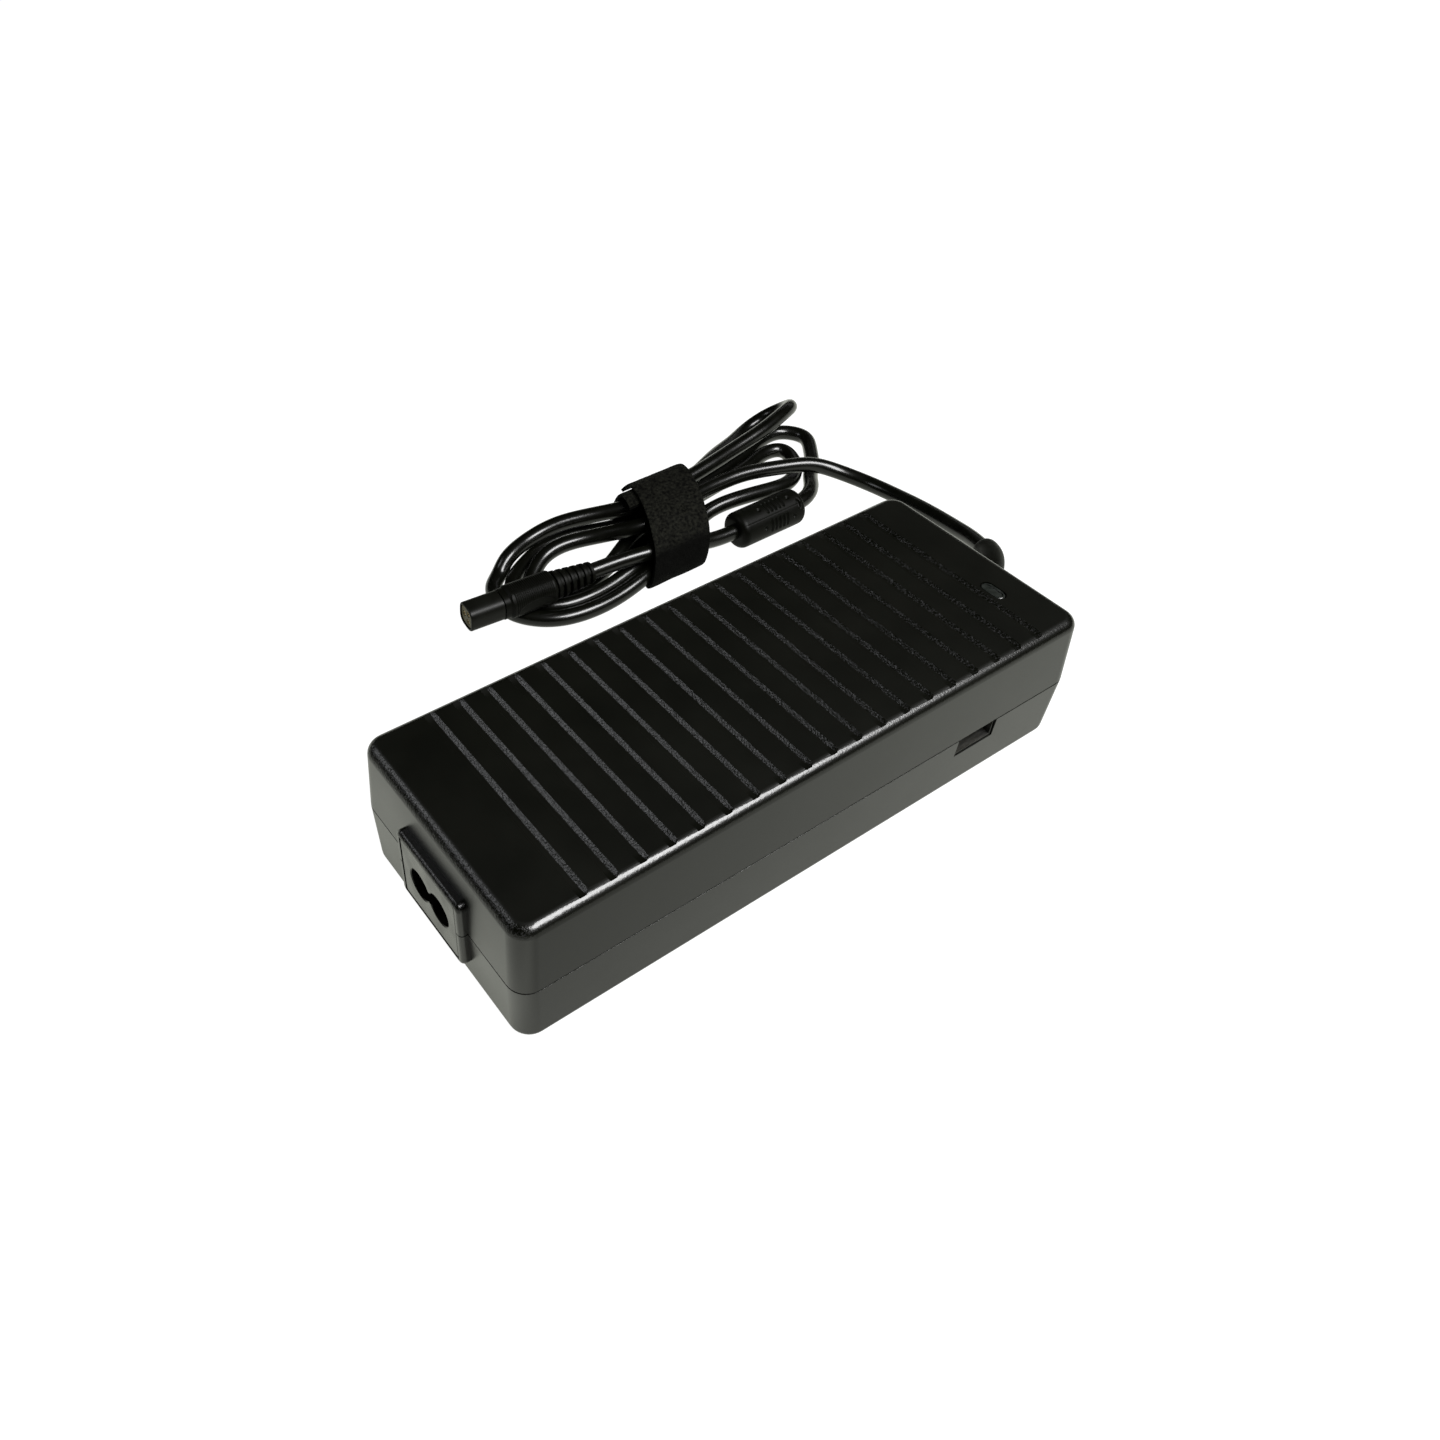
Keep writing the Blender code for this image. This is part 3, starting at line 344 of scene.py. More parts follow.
def carve(base, steps):
    """The mesh of base after each (operation, other object); all the objects are removed."""
    for operation, other in steps:
        modifier = base.modifiers.new(other.name, 'BOOLEAN')
        modifier.operation = operation
        modifier.solver = 'EXACT'
        modifier.object = other
    bpy.context.view_layer.update()
    mesh = bpy.data.meshes.new_from_object(
        base.evaluated_get(bpy.context.evaluated_depsgraph_get()))
    for thing in [base] + [other for _, other in steps]:
        bpy.data.objects.remove(thing)
    return mesh


def finish_piece(name, mesh, material, nodes, matrix=BRICK, angle=32, weighted=False):
    """A shown piece from a mesh in millimetres, which stands for the CAD nodes."""
    mesh.transform(matrix)
    mesh.materials.clear()
    mesh.materials.append(material)
    mesh.shade_smooth()
    mesh.set_sharp_from_angle(angle=math.radians(angle))
    piece = new_object(name, mesh)
    if weighted:
        normals = piece.modifiers.new("flat_faces", 'WEIGHTED_NORMAL')
        normals.keep_sharp = True
    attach(piece, "root")
    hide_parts(*nodes)
    return piece


def mesh_of(mesh_data):
    mesh = bpy.data.meshes.new("piece")
    mesh_data.to_mesh(mesh)
    mesh_data.free()
    return mesh


def box(low, high, bevel=0.0, segments=3):
    size = Vector(high) - Vector(low)
    middle = (Vector(high) + Vector(low)) / 2
    mesh_data = bmesh.new()
    bmesh.ops.create_cube(mesh_data, size=1.0,
                          matrix=Matrix.Translation(middle) @ Matrix.Diagonal((*size, 1.0)))
    if bevel:
        bmesh.ops.bevel(mesh_data, geom=mesh_data.edges[:], offset=bevel, segments=segments,
                        profile=0.5, affect='EDGES')
    return mesh_data


def prism(outline, matrix, low, high):
    """A closed outline of (x, y) points, extruded from low to high along local Z."""
    mesh_data = bmesh.new()
    bottom = [mesh_data.verts.new((x, y, low)) for x, y in outline]
    top = [mesh_data.verts.new((x, y, high)) for x, y in outline]
    count = len(outline)
    for i in range(count):
        j = (i + 1) % count
        mesh_data.faces.new((bottom[i], bottom[j], top[j], top[i]))
    mesh_data.faces.new(bottom[::-1])
    mesh_data.faces.new(top)
    mesh_data.transform(matrix)
    return mesh_data


def loft(rings):
    """A closed skin over rings of points, with a flat cap on both ends."""
    mesh_data = bmesh.new()
    rows = [[mesh_data.verts.new(point) for point in ring] for ring in rings]
    sides = len(rows[0])
    for first, second in zip(rows, rows[1:]):
        for i in range(sides):
            j = (i + 1) % sides
            mesh_data.faces.new((first[i], first[j], second[j], second[i]))
    mesh_data.faces.new(rows[0][::-1])
    mesh_data.faces.new(rows[-1])
    return mesh_data


def turned(radius_at, stations, sides):
    """Rings along local Z whose radius is radius_at(height, angle)."""
    turns = [2 * math.pi * i / sides for i in range(sides)]
    return loft([[(radius_at(h, t) * math.cos(t), radius_at(h, t) * math.sin(t), h)
                  for t in turns] for h in stations])


def rounded(corners, radii, steps=4):
    """A polyline whose corners are replaced by arcs of the given radii."""
    points = [corners[0]]
    for before, corner, after, radius in zip(corners, corners[1:], corners[2:], radii):
        corner_point = Vector(corner)
        back = (Vector(before) - corner_point).normalized()
        ahead = (Vector(after) - corner_point).normalized()
        half = back.angle(ahead) / 2
        reach = radius / math.tan(half)
        start = corner_point + back * reach
        end = corner_point + ahead * reach
        for i in range(steps + 1):
            t = i / steps
            curve = start * (1 - t) ** 2 + corner_point * 2 * t * (1 - t) + end * t ** 2
            points.append(tuple(curve))
    return points + [corners[-1]]


# How a route is resampled: points tried on each span, and the curvature that a straight run
# counts as, per millimetre
SPAN_SAMPLES = 40
STRAIGHT_CURVATURE = 0.03


def smooth_route(points, count):
    """Points along a curvature-continuous cubic through the given points, closer together
    where it bends."""
    given = np.array(points, dtype=float)
    spans = np.linalg.norm(np.diff(given, axis=0), axis=1) ** 0.5
    size = len(given)
    system = np.eye(size)
    right = np.zeros((size, 3))
    for i in range(1, size - 1):
        system[i, i - 1:i + 2] = (spans[i - 1], 2 * (spans[i - 1] + spans[i]), spans[i])
        rise = (given[i + 1] - given[i]) / spans[i] - (given[i] - given[i - 1]) / spans[i - 1]
        right[i] = 6 * rise
    bend = np.linalg.solve(system, right)
    fine = []
    for i, span in enumerate(spans):
        for part in np.linspace(0.0, span, SPAN_SAMPLES, endpoint=False):
            left = span - part
            curved = (bend[i] * left ** 3 + bend[i + 1] * part ** 3) / (6 * span)
            start = (given[i] / span - bend[i] * span / 6) * left
            end = (given[i + 1] / span - bend[i + 1] * span / 6) * part
            fine.append(curved + start + end)
    fine = np.array(fine + [given[-1]])
    run = np.diff(fine, axis=0)
    steps = np.linalg.norm(run, axis=1)
    run /= steps[:, None]
    turns = np.linalg.norm(np.diff(run, axis=0), axis=1)
    curvature = np.append(turns, turns[-1]) / steps
    share = np.concatenate([[0.0], np.cumsum(steps * np.sqrt(curvature + STRAIGHT_CURVATURE))])
    wanted = np.linspace(0.0, share[-1], count)
    return [tuple(np.interp(w, share, fine[:, k]) for k in range(3)) for w in wanted]


def tapered_block(start, end, inset, edge_radius, shrink=0.0, segments=8, chamfer=0.0):
    """A rounded block of the brick's outline from one height to another, drawn in by
    inset at its far end and by shrink all round."""
    mesh_data = bmesh.new()
    bmesh.ops.create_cube(mesh_data, size=2.0)
    for vertex in mesh_data.verts:
        far = (vertex.co.z > 0) == (end > start)
        pull = shrink + (inset if far else 0.0)
        vertex.co.x *= LENGTH / 2 - pull
        vertex.co.y *= WIDTH / 2 - pull
        vertex.co.z = end if far else start
    uprights = [e for e in mesh_data.edges if abs(e.verts[0].co.z - e.verts[1].co.z) > 1e-6]
    bmesh.ops.bevel(mesh_data, geom=uprights, offset=CORNER_RADIUS - shrink,
                    segments=segments + 2, profile=0.5, affect='EDGES')
    for level, width, steps in ((end, edge_radius, segments), (start, chamfer, 2)):
        rim = [e for e in mesh_data.edges if all(abs(v.co.z - level) < 1e-4 for v in e.verts)]
        if width:
            bmesh.ops.bevel(mesh_data, geom=rim, offset=width, segments=steps,
                            profile=0.5, affect='EDGES')
    return mesh_data


def collar(low, high):
    """The raised frame round the mains inlet, cut to one side of the parting line."""
    half_y, half_z = COLLAR_WIDTH / 2, COLLAR_HEIGHT / 2
    mesh_data = box((COLLAR_FACE, -half_y, INLET_Z - half_z), (-81.0, half_y, INLET_Z + half_z))
    along = [e for e in mesh_data.edges if abs(e.verts[0].co.x - e.verts[1].co.x) > 1]
    bmesh.ops.bevel(mesh_data, geom=along, offset=COLLAR_CORNER, segments=7, profile=0.5, affect='EDGES')
    rim = [e for e in mesh_data.edges if all(v.co.x < COLLAR_FACE + 0.01 for v in e.verts)]
    bmesh.ops.bevel(mesh_data, geom=rim, offset=COLLAR_EDGE, segments=6, profile=0.5, affect='EDGES')
    half = solid("collar_half", box((-90, -20, low), (-76, 20, high)))
    return new_object("collar", carve(solid("collar_block", mesh_data), [('INTERSECT', half)]))


def groove_channel(share):
    """The section of a channel cut to a share of its full depth: an upright wall on the -X side,
    a ramp on the +X side, and rounded lips and floor."""
    depth = GROOVE_DEPTH * share
    surface = [(-4.0, 0.0), (0.0, 0.0), (0.15, -depth), (0.15 + GROOVE_FLOOR, -depth),
               (GROOVE_WIDTH, 0.0), (GROOVE_WIDTH + 4.0, 0.0)]
    channel = rounded(surface, [0.1, 0.12, 0.5, 0.45])[1:-1]
    return channel + [(channel[-1][0], 1.5), (channel[0][0], 1.5)]


def groove_cutters():
    """Shallow channels across the top, which get shallower where they run out over its edges."""
    half = WIDTH / 2
    reach = [(inset - half, share) for inset, share in GROOVE_RUN_OUT]
    reach += [(-y, share) for y, share in reach[::-1]]
    whole = bmesh.new()
    for number in range(GROOVE_COUNT):
        start = GROOVE_FIRST + number * GROOVE_PITCH
        single = loft([[(start + x, y, HEIGHT + z) for x, z in groove_channel(share)]
                       for y, share in reach])
        one = mesh_of(single)
        whole.from_mesh(one)
        bpy.data.meshes.remove(one)
    return solid("grooves", whole)


def stadium(half_width, length, steps=16):
    """An oblong with fully rounded ends along Y."""
    straight = (length - LAMP_WIDTH) / 2
    points = []
    for side in (1, -1):
        for step in range(steps + 1):
            turn = math.pi * step / steps
            points.append((side * half_width * math.cos(turn),
                           side * (straight + half_width * math.sin(turn))))
    return points


def lamp_prism(spare, low, high):
    place = Matrix.Translation((LAMP_X, LAMP_Y, 0))
    return prism(stadium(LAMP_WIDTH / 2 + spare, LAMP_LENGTH), place, low, high)


def cylinder(radius, start, end, flare=0.0, sides=48):
    """A cylinder from start to end, with a conical flare at its start."""
    axis = Vector(end) - Vector(start)
    stations = [(0.0, radius + flare), (flare + 1e-3, radius), (axis.length, radius)]
    mesh_data = loft([[(r * math.cos(2 * math.pi * i / sides),
                        r * math.sin(2 * math.pi * i / sides), h) for i in range(sides)]
                      for h, r in stations])
    turn = Vector((0, 0, 1)).rotation_difference(axis).to_matrix().to_4x4()
    mesh_data.transform(Matrix.Translation(start) @ turn)
    return mesh_data


# ---------------------------------------------------------------- materials

def node_kit(name):
    material = bpy.data.materials.new(name)
    material.use_nodes = True
    tree = material.node_tree
    return material, tree.nodes, tree.links, tree.nodes["Principled BSDF"]


def noise_node(nodes, links, size_mm, detail=3.0, source=None, stretch=None):
    """Noise whose features are about size_mm across, in the object's own space."""
    texture = nodes.new("ShaderNodeTexNoise")
    texture.inputs["Scale"].default_value = 1.0 / (size_mm * MM)
    texture.inputs["Detail"].default_value = detail
    if source is None:
        source = nodes.new("ShaderNodeTexCoord").outputs["Object"]
    if stretch:
        mapping = nodes.new("ShaderNodeMapping")
        mapping.inputs["Scale"].default_value = stretch
        links.new(source, mapping.inputs["Vector"])
        source = mapping.outputs["Vector"]
    links.new(source, texture.inputs["Vector"])
    return texture.outputs["Fac"]


def map_range(nodes, links, value, low, high, start=0.3, end=0.7):
    ranged = nodes.new("ShaderNodeMapRange")
    ranged.inputs["From Min"].default_value = start
    ranged.inputs["From Max"].default_value = end
    ranged.inputs["To Min"].default_value = low
    ranged.inputs["To Max"].default_value = high
    links.new(value, ranged.inputs["Value"])
    return ranged.outputs["Result"]


def calculate(nodes, links, operation, first, second):
    """A Math node on two values, each a socket or a number."""
    math_node = nodes.new("ShaderNodeMath")
    math_node.operation = operation
    for socket, value in zip(math_node.inputs, (first, second)):
        if isinstance(value, (int, float)):
            socket.default_value = value
        else:
            links.new(value, socket)
    return math_node.outputs["Value"]


def bump(nodes, links, height, depth_mm, strength=1.0, normal=None):
    node = nodes.new("ShaderNodeBump")
    node.inputs["Distance"].default_value = depth_mm * MM
    if isinstance(strength, (int, float)):
        node.inputs["Strength"].default_value = strength
    else:
        links.new(strength, node.inputs["Strength"])
    links.new(height, node.inputs["Height"])
    if normal is not None:
        links.new(normal, node.inputs["Normal"])
    return node.outputs["Normal"]


def mix_colour(nodes, links, factor, first, second):
    mix = nodes.new("ShaderNodeMix")
    mix.data_type = 'RGBA'
    links.new(factor, mix.inputs["Factor"])
    for name, colour in (("A", first), ("B", second)):
        if isinstance(colour, bpy.types.NodeSocket):
            links.new(colour, mix.inputs[name])
        else:
            mix.inputs[name].default_value = (*colour, 1.0)
    return mix.outputs["Result"]


def shade(colour, amount):
    return tuple(min(1.0, channel * amount) for channel in colour)


def plain_material(name, colour, roughness, metallic=0.0, grain=0.4, depth=0.01, patch=6.0,
                   spread=0.18, vary=0.08, stretch=None, coat=0.0, specular=0.5):
    """A moulded, cast or drawn surface: patchy colour and gloss over a fine grain."""
    material, nodes, links, shader = node_kit(name)
    patches = noise_node(nodes, links, patch, 4.0, stretch=stretch)
    grains = noise_node(nodes, links, grain, 2.0, stretch=stretch)
    links.new(mix_colour(nodes, links, map_range(nodes, links, patches, 0.0, 1.0),
                         shade(colour, 1 - spread), shade(colour, 1 + spread)),
              shader.inputs["Base Color"])
    links.new(map_range(nodes, links, patches, roughness - vary / 2, roughness + vary),
              shader.inputs["Roughness"])
    links.new(bump(nodes, links, grains, depth), shader.inputs["Normal"])
    shader.inputs["Metallic"].default_value = metallic
    shader.inputs["Specular IOR Level"].default_value = specular
    shader.inputs["Coat Weight"].default_value = coat
    shader.inputs["Coat Roughness"].default_value = 0.12
    return material


# The shells' own black, which varies between two tones, and the colour of the painted
# glints: pale specks on the groove ramps that stand for glints of the ramp light
SHELL_TONES = ((0.0005, 0.0006, 0.0001), (0.0008, 0.0009, 0.0002))
PAINTED_GLINT_COLOUR = (0.012, 0.012, 0.012)


def shell_material():
    """Black moulded plastic: a fine spark-eroded texture on its faces, and a coarser one on
    the groove ramps and the edges that slope like them. Where those slopes face the inlet end,
    pale specks are painted into the colour as glints of the ramp light."""
    material, nodes, links, shader = node_kit("shell_plastic_finish")
    patches = noise_node(nodes, links, 14.0, 4.0)
    fine = noise_node(nodes, links, 0.28, 2.0)
    medium = noise_node(nodes, links, 0.5, 2.0)
    coarse = noise_node(nodes, links, 0.45, 2.0)
    geometry = nodes.new("ShaderNodeNewGeometry")
    split = nodes.new("ShaderNodeSeparateXYZ")
    links.new(geometry.outputs["Normal"], split.inputs["Vector"])
    below_flat = map_range(nodes, links, split.outputs["Z"], 1.0, 0.0, 0.93, 0.985)
    above_side = map_range(nodes, links, split.outputs["Z"], 0.0, 1.0, 0.12, 0.4)
    sloping = calculate(nodes, links, 'MULTIPLY', below_flat, above_side)
    towards_inlet = map_range(nodes, links, split.outputs["X"], 1.0, 0.0, -0.35, -0.1)
    ramp = calculate(nodes, links, 'MULTIPLY', sloping, towards_inlet)
    plain = mix_colour(nodes, links, map_range(nodes, links, patches, 0.0, 1.0),
                       *SHELL_TONES)
    # Painted glints: pale specks in the colour of the sloping faces that turn towards the inlet,
    # standing for glints of the ramp light
    painted_glint_specks = map_range(nodes, links, noise_node(nodes, links, 0.5, 2.0), 0.0, 1.0, 0.52, 0.68)
    links.new(mix_colour(nodes, links, calculate(nodes, links, 'MULTIPLY', painted_glint_specks, ramp), plain,
                         PAINTED_GLINT_COLOUR), shader.inputs["Base Color"])
    gloss = map_range(nodes, links, patches, 0.335, 0.365)
    links.new(calculate(nodes, links, 'SUBTRACT', gloss,
                        calculate(nodes, links, 'MULTIPLY', sloping, 0.08)),
              shader.inputs["Roughness"])
    shader.inputs["Specular IOR Level"].default_value = 0.36
    first = bump(nodes, links, fine, 0.008, 0.5)
    second = bump(nodes, links, medium, 0.035, sloping, first)
    links.new(bump(nodes, links, coarse, 0.13, ramp, second), shader.inputs["Normal"])
    return material


def cord_material():
    """Glossy black PVC with patchy gloss, a fine grain and a slight orange peel."""
    material, nodes, links, shader = node_kit("cord_jacket_finish")
    patches = noise_node(nodes, links, 5.0, 3.0)
    peel = noise_node(nodes, links, 1.3, 2.0)
    fine = noise_node(nodes, links, 0.25, 2.0)
    links.new(mix_colour(nodes, links, map_range(nodes, links, patches, 0.0, 1.0),
                         (0.0008, 0.0009, 0.0005), (0.0014, 0.0015, 0.0009)),
              shader.inputs["Base Color"])
    links.new(map_range(nodes, links, patches, 0.22, 0.26), shader.inputs["Roughness"])
    shader.inputs["Specular IOR Level"].default_value = 0.32
    first = bump(nodes, links, peel, 0.004, 0.5)
    links.new(bump(nodes, links, fine, 0.002, 0.5, first), shader.inputs["Normal"])
    return material


def fabric_material():
    """Black hook-and-loop tape: a woven ground with a loop pile. Its upward faces are painted
    lighter, as lit, and the faces turned away from up, the near side and the selvedges, near black, as
    painted shade.
    """
    material, nodes, links, shader = node_kit("strap_fabric_finish")
    fibres = noise_node(nodes, links, 0.35, 4.0)
    tufts = noise_node(nodes, links, 0.9, 3.0)
    mottle = noise_node(nodes, links, 4.0, 3.0)
    split = nodes.new("ShaderNodeSeparateXYZ")
    links.new(nodes.new("ShaderNodeNewGeometry").outputs["Normal"], split.inputs["Vector"])
    # Painted light and shade: upward faces show the lighter pile, and faces turned away from up go near
    # black
    painted_top_light = map_range(nodes, links, split.outputs["Z"], 0.05, 1.0, 0.55, 0.8)
    pile = map_range(nodes, links, tufts, 0.0, 1.0, 0.35, 0.75)
    links.new(mix_colour(nodes, links, calculate(nodes, links, 'MULTIPLY', painted_top_light, pile),
                         (0.0002, 0.0002, 0.0001), (0.0075, 0.0076, 0.0056)),
              shader.inputs["Base Color"])
    links.new(map_range(nodes, links, mottle, 0.72, 0.95), shader.inputs["Roughness"])
    first = bump(nodes, links, tufts, 0.5, 0.9)
    links.new(bump(nodes, links, fibres, 0.2, 0.9, first), shader.inputs["Normal"])
    shader.inputs["Specular IOR Level"].default_value = 0.04
    return material


def lens_material():
    material, nodes, links, shader = node_kit("clear_plastic_finish")
    cloud = noise_node(nodes, links, 1.5, 2.0)
    links.new(mix_colour(nodes, links, map_range(nodes, links, cloud, 0.0, 1.0),
                         (0.012, 0.014, 0.012), (0.03, 0.034, 0.03)), shader.inputs["Base Color"])
    links.new(map_range(nodes, links, cloud, 0.14, 0.26), shader.inputs["Roughness"])
    links.new(bump(nodes, links, cloud, 0.02), shader.inputs["Normal"])
    shader.inputs["Transmission Weight"].default_value = 0.6
    shader.inputs["IOR"].default_value = 1.49
    return material


# What each material slot of the record looks like: its colour and roughness, then what differs.
FINISHES = {
    "gloss_plastic": dict(colour=(0.0016, 0.0016, 0.0010), roughness=0.26, grain=0.9, depth=0.006,
                          specular=0.2),
    "label": dict(colour=(0.045, 0.046, 0.048), roughness=0.38, grain=0.2, depth=0.006, patch=12.0),
    "lamp": dict(colour=(0.10, 0.20, 0.12), roughness=0.2, coat=0.2),
    "soft_moulding": dict(colour=(0.0010, 0.0011, 0.0006), roughness=0.42, grain=0.35, depth=0.02,
                          specular=0.06),
    "barrel_plastic": dict(colour=(0.0014, 0.0015, 0.0009), roughness=0.40, grain=0.5, depth=0.01,
                           specular=0.13),
    "steel": dict(colour=(0.055, 0.055, 0.052), roughness=0.42, metallic=1.0, stretch=(1, 6, 6)),
    "brass": dict(colour=(0.34, 0.25, 0.11), roughness=0.38, metallic=1.0),
    "pin_metal": dict(colour=(0.42, 0.41, 0.38), roughness=0.3, metallic=1.0),
    "ivory": dict(colour=(0.88, 0.82, 0.60), roughness=0.45, spread=0.06, specular=0.4),
    "insulator": dict(colour=(0.105, 0.092, 0.05), roughness=0.5, grain=0.3, depth=0.02,
                      specular=0.25),
    "board": dict(colour=(0.02, 0.15, 0.06), roughness=0.4, patch=3.0, coat=0.3),
    "sheet": dict(colour=(0.5, 0.4, 0.22), roughness=0.35, patch=10.0, coat=0.2),
    "aluminium": dict(colour=(0.72, 0.73, 0.74), roughness=0.36, metallic=1.0, stretch=(1, 8, 8)),
    "ferrite": dict(colour=(0.05, 0.05, 0.055), roughness=0.55, grain=0.25, depth=0.03),
    "winding": dict(colour=(0.6, 0.25, 0.1), roughness=0.3, metallic=0.6, coat=0.5, patch=1.0),
    "tape": dict(colour=(0.72, 0.55, 0.1), roughness=0.35, patch=3.0, coat=0.3),
    "chip": dict(colour=(0.02, 0.02, 0.022), roughness=0.5, grain=0.2, depth=0.015),
    "can": dict(colour=(0.03, 0.04, 0.12), roughness=0.28, patch=4.0, coat=0.3),
    "disc": dict(colour=(0.08, 0.22, 0.52), roughness=0.35, grain=1.0, depth=0.04),
    "film_box": dict(colour=(0.7, 0.58, 0.1), roughness=0.38, grain=0.3, depth=0.01),
    "ceramic_tube": dict(colour=(0.75, 0.76, 0.7), roughness=0.18, spread=0.05),
    "brown_wire": dict(colour=(0.3, 0.12, 0.03), roughness=0.42, patch=2.0),
    "red_wire": dict(colour=(0.45, 0.03, 0.03), roughness=0.42, patch=2.0),
}


def make_materials():
    made = {name: plain_material(name + "_finish", **look) for name, look in FINISHES.items()}
    made["shell_plastic"] = shell_material()
    made["cord_jacket"] = cord_material()
    made["strap_fabric"] = fabric_material()
    made["clear_plastic"] = lens_material()
    return made


MATERIALS = make_materials()


# ---------------------------------------------------------------- brick

def cut_shell(block, steps, name, node):
    mesh = carve(block, steps)
    return finish_piece(name, mesh, MATERIALS["shell_plastic"], [node],
                        angle=28, weighted=True)


def make_shells():
    inlet_half_y = INLET_WIDTH / 2 + GAP
    inlet_half_z = INLET_HEIGHT / 2 + GAP

    def openings():
        opening = box((-90, -inlet_half_y, INLET_Z - inlet_half_z),
                      (-74, inlet_half_y, INLET_Z + inlet_half_z))
        return [('DIFFERENCE', solid("inlet_opening", opening)),
                ('DIFFERENCE', solid("exit_hole", cylinder(4.5, (74, 7.0, PARTING),
                                                           (90, 7.0, PARTING))))]

    seam = PARTING + GAP / 2
    block = solid("upper", tapered_block(seam, HEIGHT, TOP_INSET, TOP_RADIUS,
                                         chamfer=SEAM_CHAMFER))
    hollow = tapered_block(seam - 1, HEIGHT - WALL - 0.2, TOP_INSET, 1.2, WALL, 2)
    rebate = tapered_block(seam - 1, PARTING + LIP_HEIGHT + GAP, 0, 0, LIP_OFFSET, 2)
    cut_shell(block, [
        ('UNION', collar(seam, OVER_ALL)),
        ('DIFFERENCE', solid("hollow", hollow)),
        ('DIFFERENCE', solid("rebate", rebate)),
        ('DIFFERENCE', groove_cutters()),
        ('DIFFERENCE', solid("lamp_slot", lamp_prism(GAP, 30, 45))),
    ] + openings(), "upper_shell_moulding", "upper_shell")

    seam = PARTING - GAP / 2
    block = solid("lower", tapered_block(seam, 0.0, FOOT_INSET, FOOT_RADIUS,
                                         chamfer=SEAM_CHAMFER))
    lip = tapered_block(seam - 1, PARTING + LIP_HEIGHT, 0, 0, LIP_OFFSET + GAP, 2)
    hollow = tapered_block(seam + 5, WALL + 0.2, FOOT_INSET, 1.2, WALL, 2)
    usb = box((USB_X - USB_WIDTH / 2, -40, USB_FLOOR), (USB_X + USB_WIDTH / 2, -26, 24))
    label = box((-50.3, -25.3, -1), (50.3, 25.3, 0.65))
    cut_shell(block, [
        ('UNION', collar(UNDER_ALL, seam)),
        ('UNION', solid("lip", lip)),
        ('DIFFERENCE', solid("hollow", hollow)),
        ('DIFFERENCE', solid("usb_opening", usb)),
        ('DIFFERENCE', solid("label_recess", label)),
    ] + openings(), "lower_shell_moulding", "lower_shell")


def make_inlet():
    half_y, half_z = INLET_WIDTH / 2, INLET_HEIGHT / 2
    back = INLET_FACE + RECESS_DEPTH
    plate = box((INLET_FACE, -half_y, INLET_Z - half_z), (-79.0, half_y, INLET_Z + half_z))
    along = [e for e in plate.edges if abs(e.verts[0].co.x - e.verts[1].co.x) > 1]
    bmesh.ops.bevel(plate, geom=along, offset=0.7, segments=4, profile=0.5, affect='EDGES')
    rim = [e for e in plate.edges if all(v.co.x < INLET_FACE + 0.01 for v in e.verts)]
    bmesh.ops.bevel(plate, geom=rim, offset=0.22, segments=3, profile=0.5, affect='EDGES')
    flange = box((-79.2, -half_y - 2, INLET_Z - half_z - 1.5),
                 (-77.2, half_y + 2, INLET_Z + half_z + 1.5), 0.3, 2)
    body = box((-77.4, -10, INLET_Z - 6), (back + 3, 10, INLET_Z + 6), 0.4, 2)
    steps = [('UNION', solid("flange", flange)), ('UNION', solid("body", body))]
    for side in (-1, 1):
        middle = side * LOBE_SPACING / 2
        lobe = cylinder(LOBE_RADIUS, (INLET_FACE - 0.05, middle, INLET_Z),
                        (back, middle, INLET_Z), flare=0.28, sides=64)
        bore = cylinder(PIN_RADIUS + GAP, (back - 1, middle, INLET_Z), (back + 7, middle, INLET_Z))
        steps += [('DIFFERENCE', solid("lobe", lobe)), ('DIFFERENCE', solid("bore", bore))]
    waist = box((INLET_FACE - 2.5, -2.6, INLET_Z - 1.9), (back, 2.6, INLET_Z + 1.9))
    steps.append(('DIFFERENCE', solid("waist", waist)))
    mesh = carve(solid("plate", plate), steps)
    finish_piece("inlet_socket", mesh, MATERIALS["gloss_plastic"],
                 ["inlet_housing"], weighted=True)


def make_lens():
    top = HEIGHT - 0.05
    lens = lamp_prism(0.0, LENS_BOTTOM, top)
    rim = [e for e in lens.edges if all(v.co.z > top - 0.01 for v in e.verts)]
    bmesh.ops.bevel(lens, geom=rim, offset=0.3, segments=4, profile=0.5, affect='EDGES')
    flange = box((LAMP_X - 2.6, LAMP_Y - 4.5, LENS_FLANGE_LOW),
                 (LAMP_X + 2.6, LAMP_Y + 4.5, LENS_FLANGE_HIGH), 0.15, 2)
    dish = lamp_prism(-LENS_RIM, top - LENS_DISH_DEPTH, top + 1.0)
    mesh = carve(solid("lens", lens), [('UNION', solid("lens_flange", flange)),
                                       ('DIFFERENCE', solid("lens_dish", dish))])
    finish_piece("lamp_lens", mesh, MATERIALS["clear_plastic"],
                 ["led_light_pipe"])


# ---------------------------------------------------------------- lead

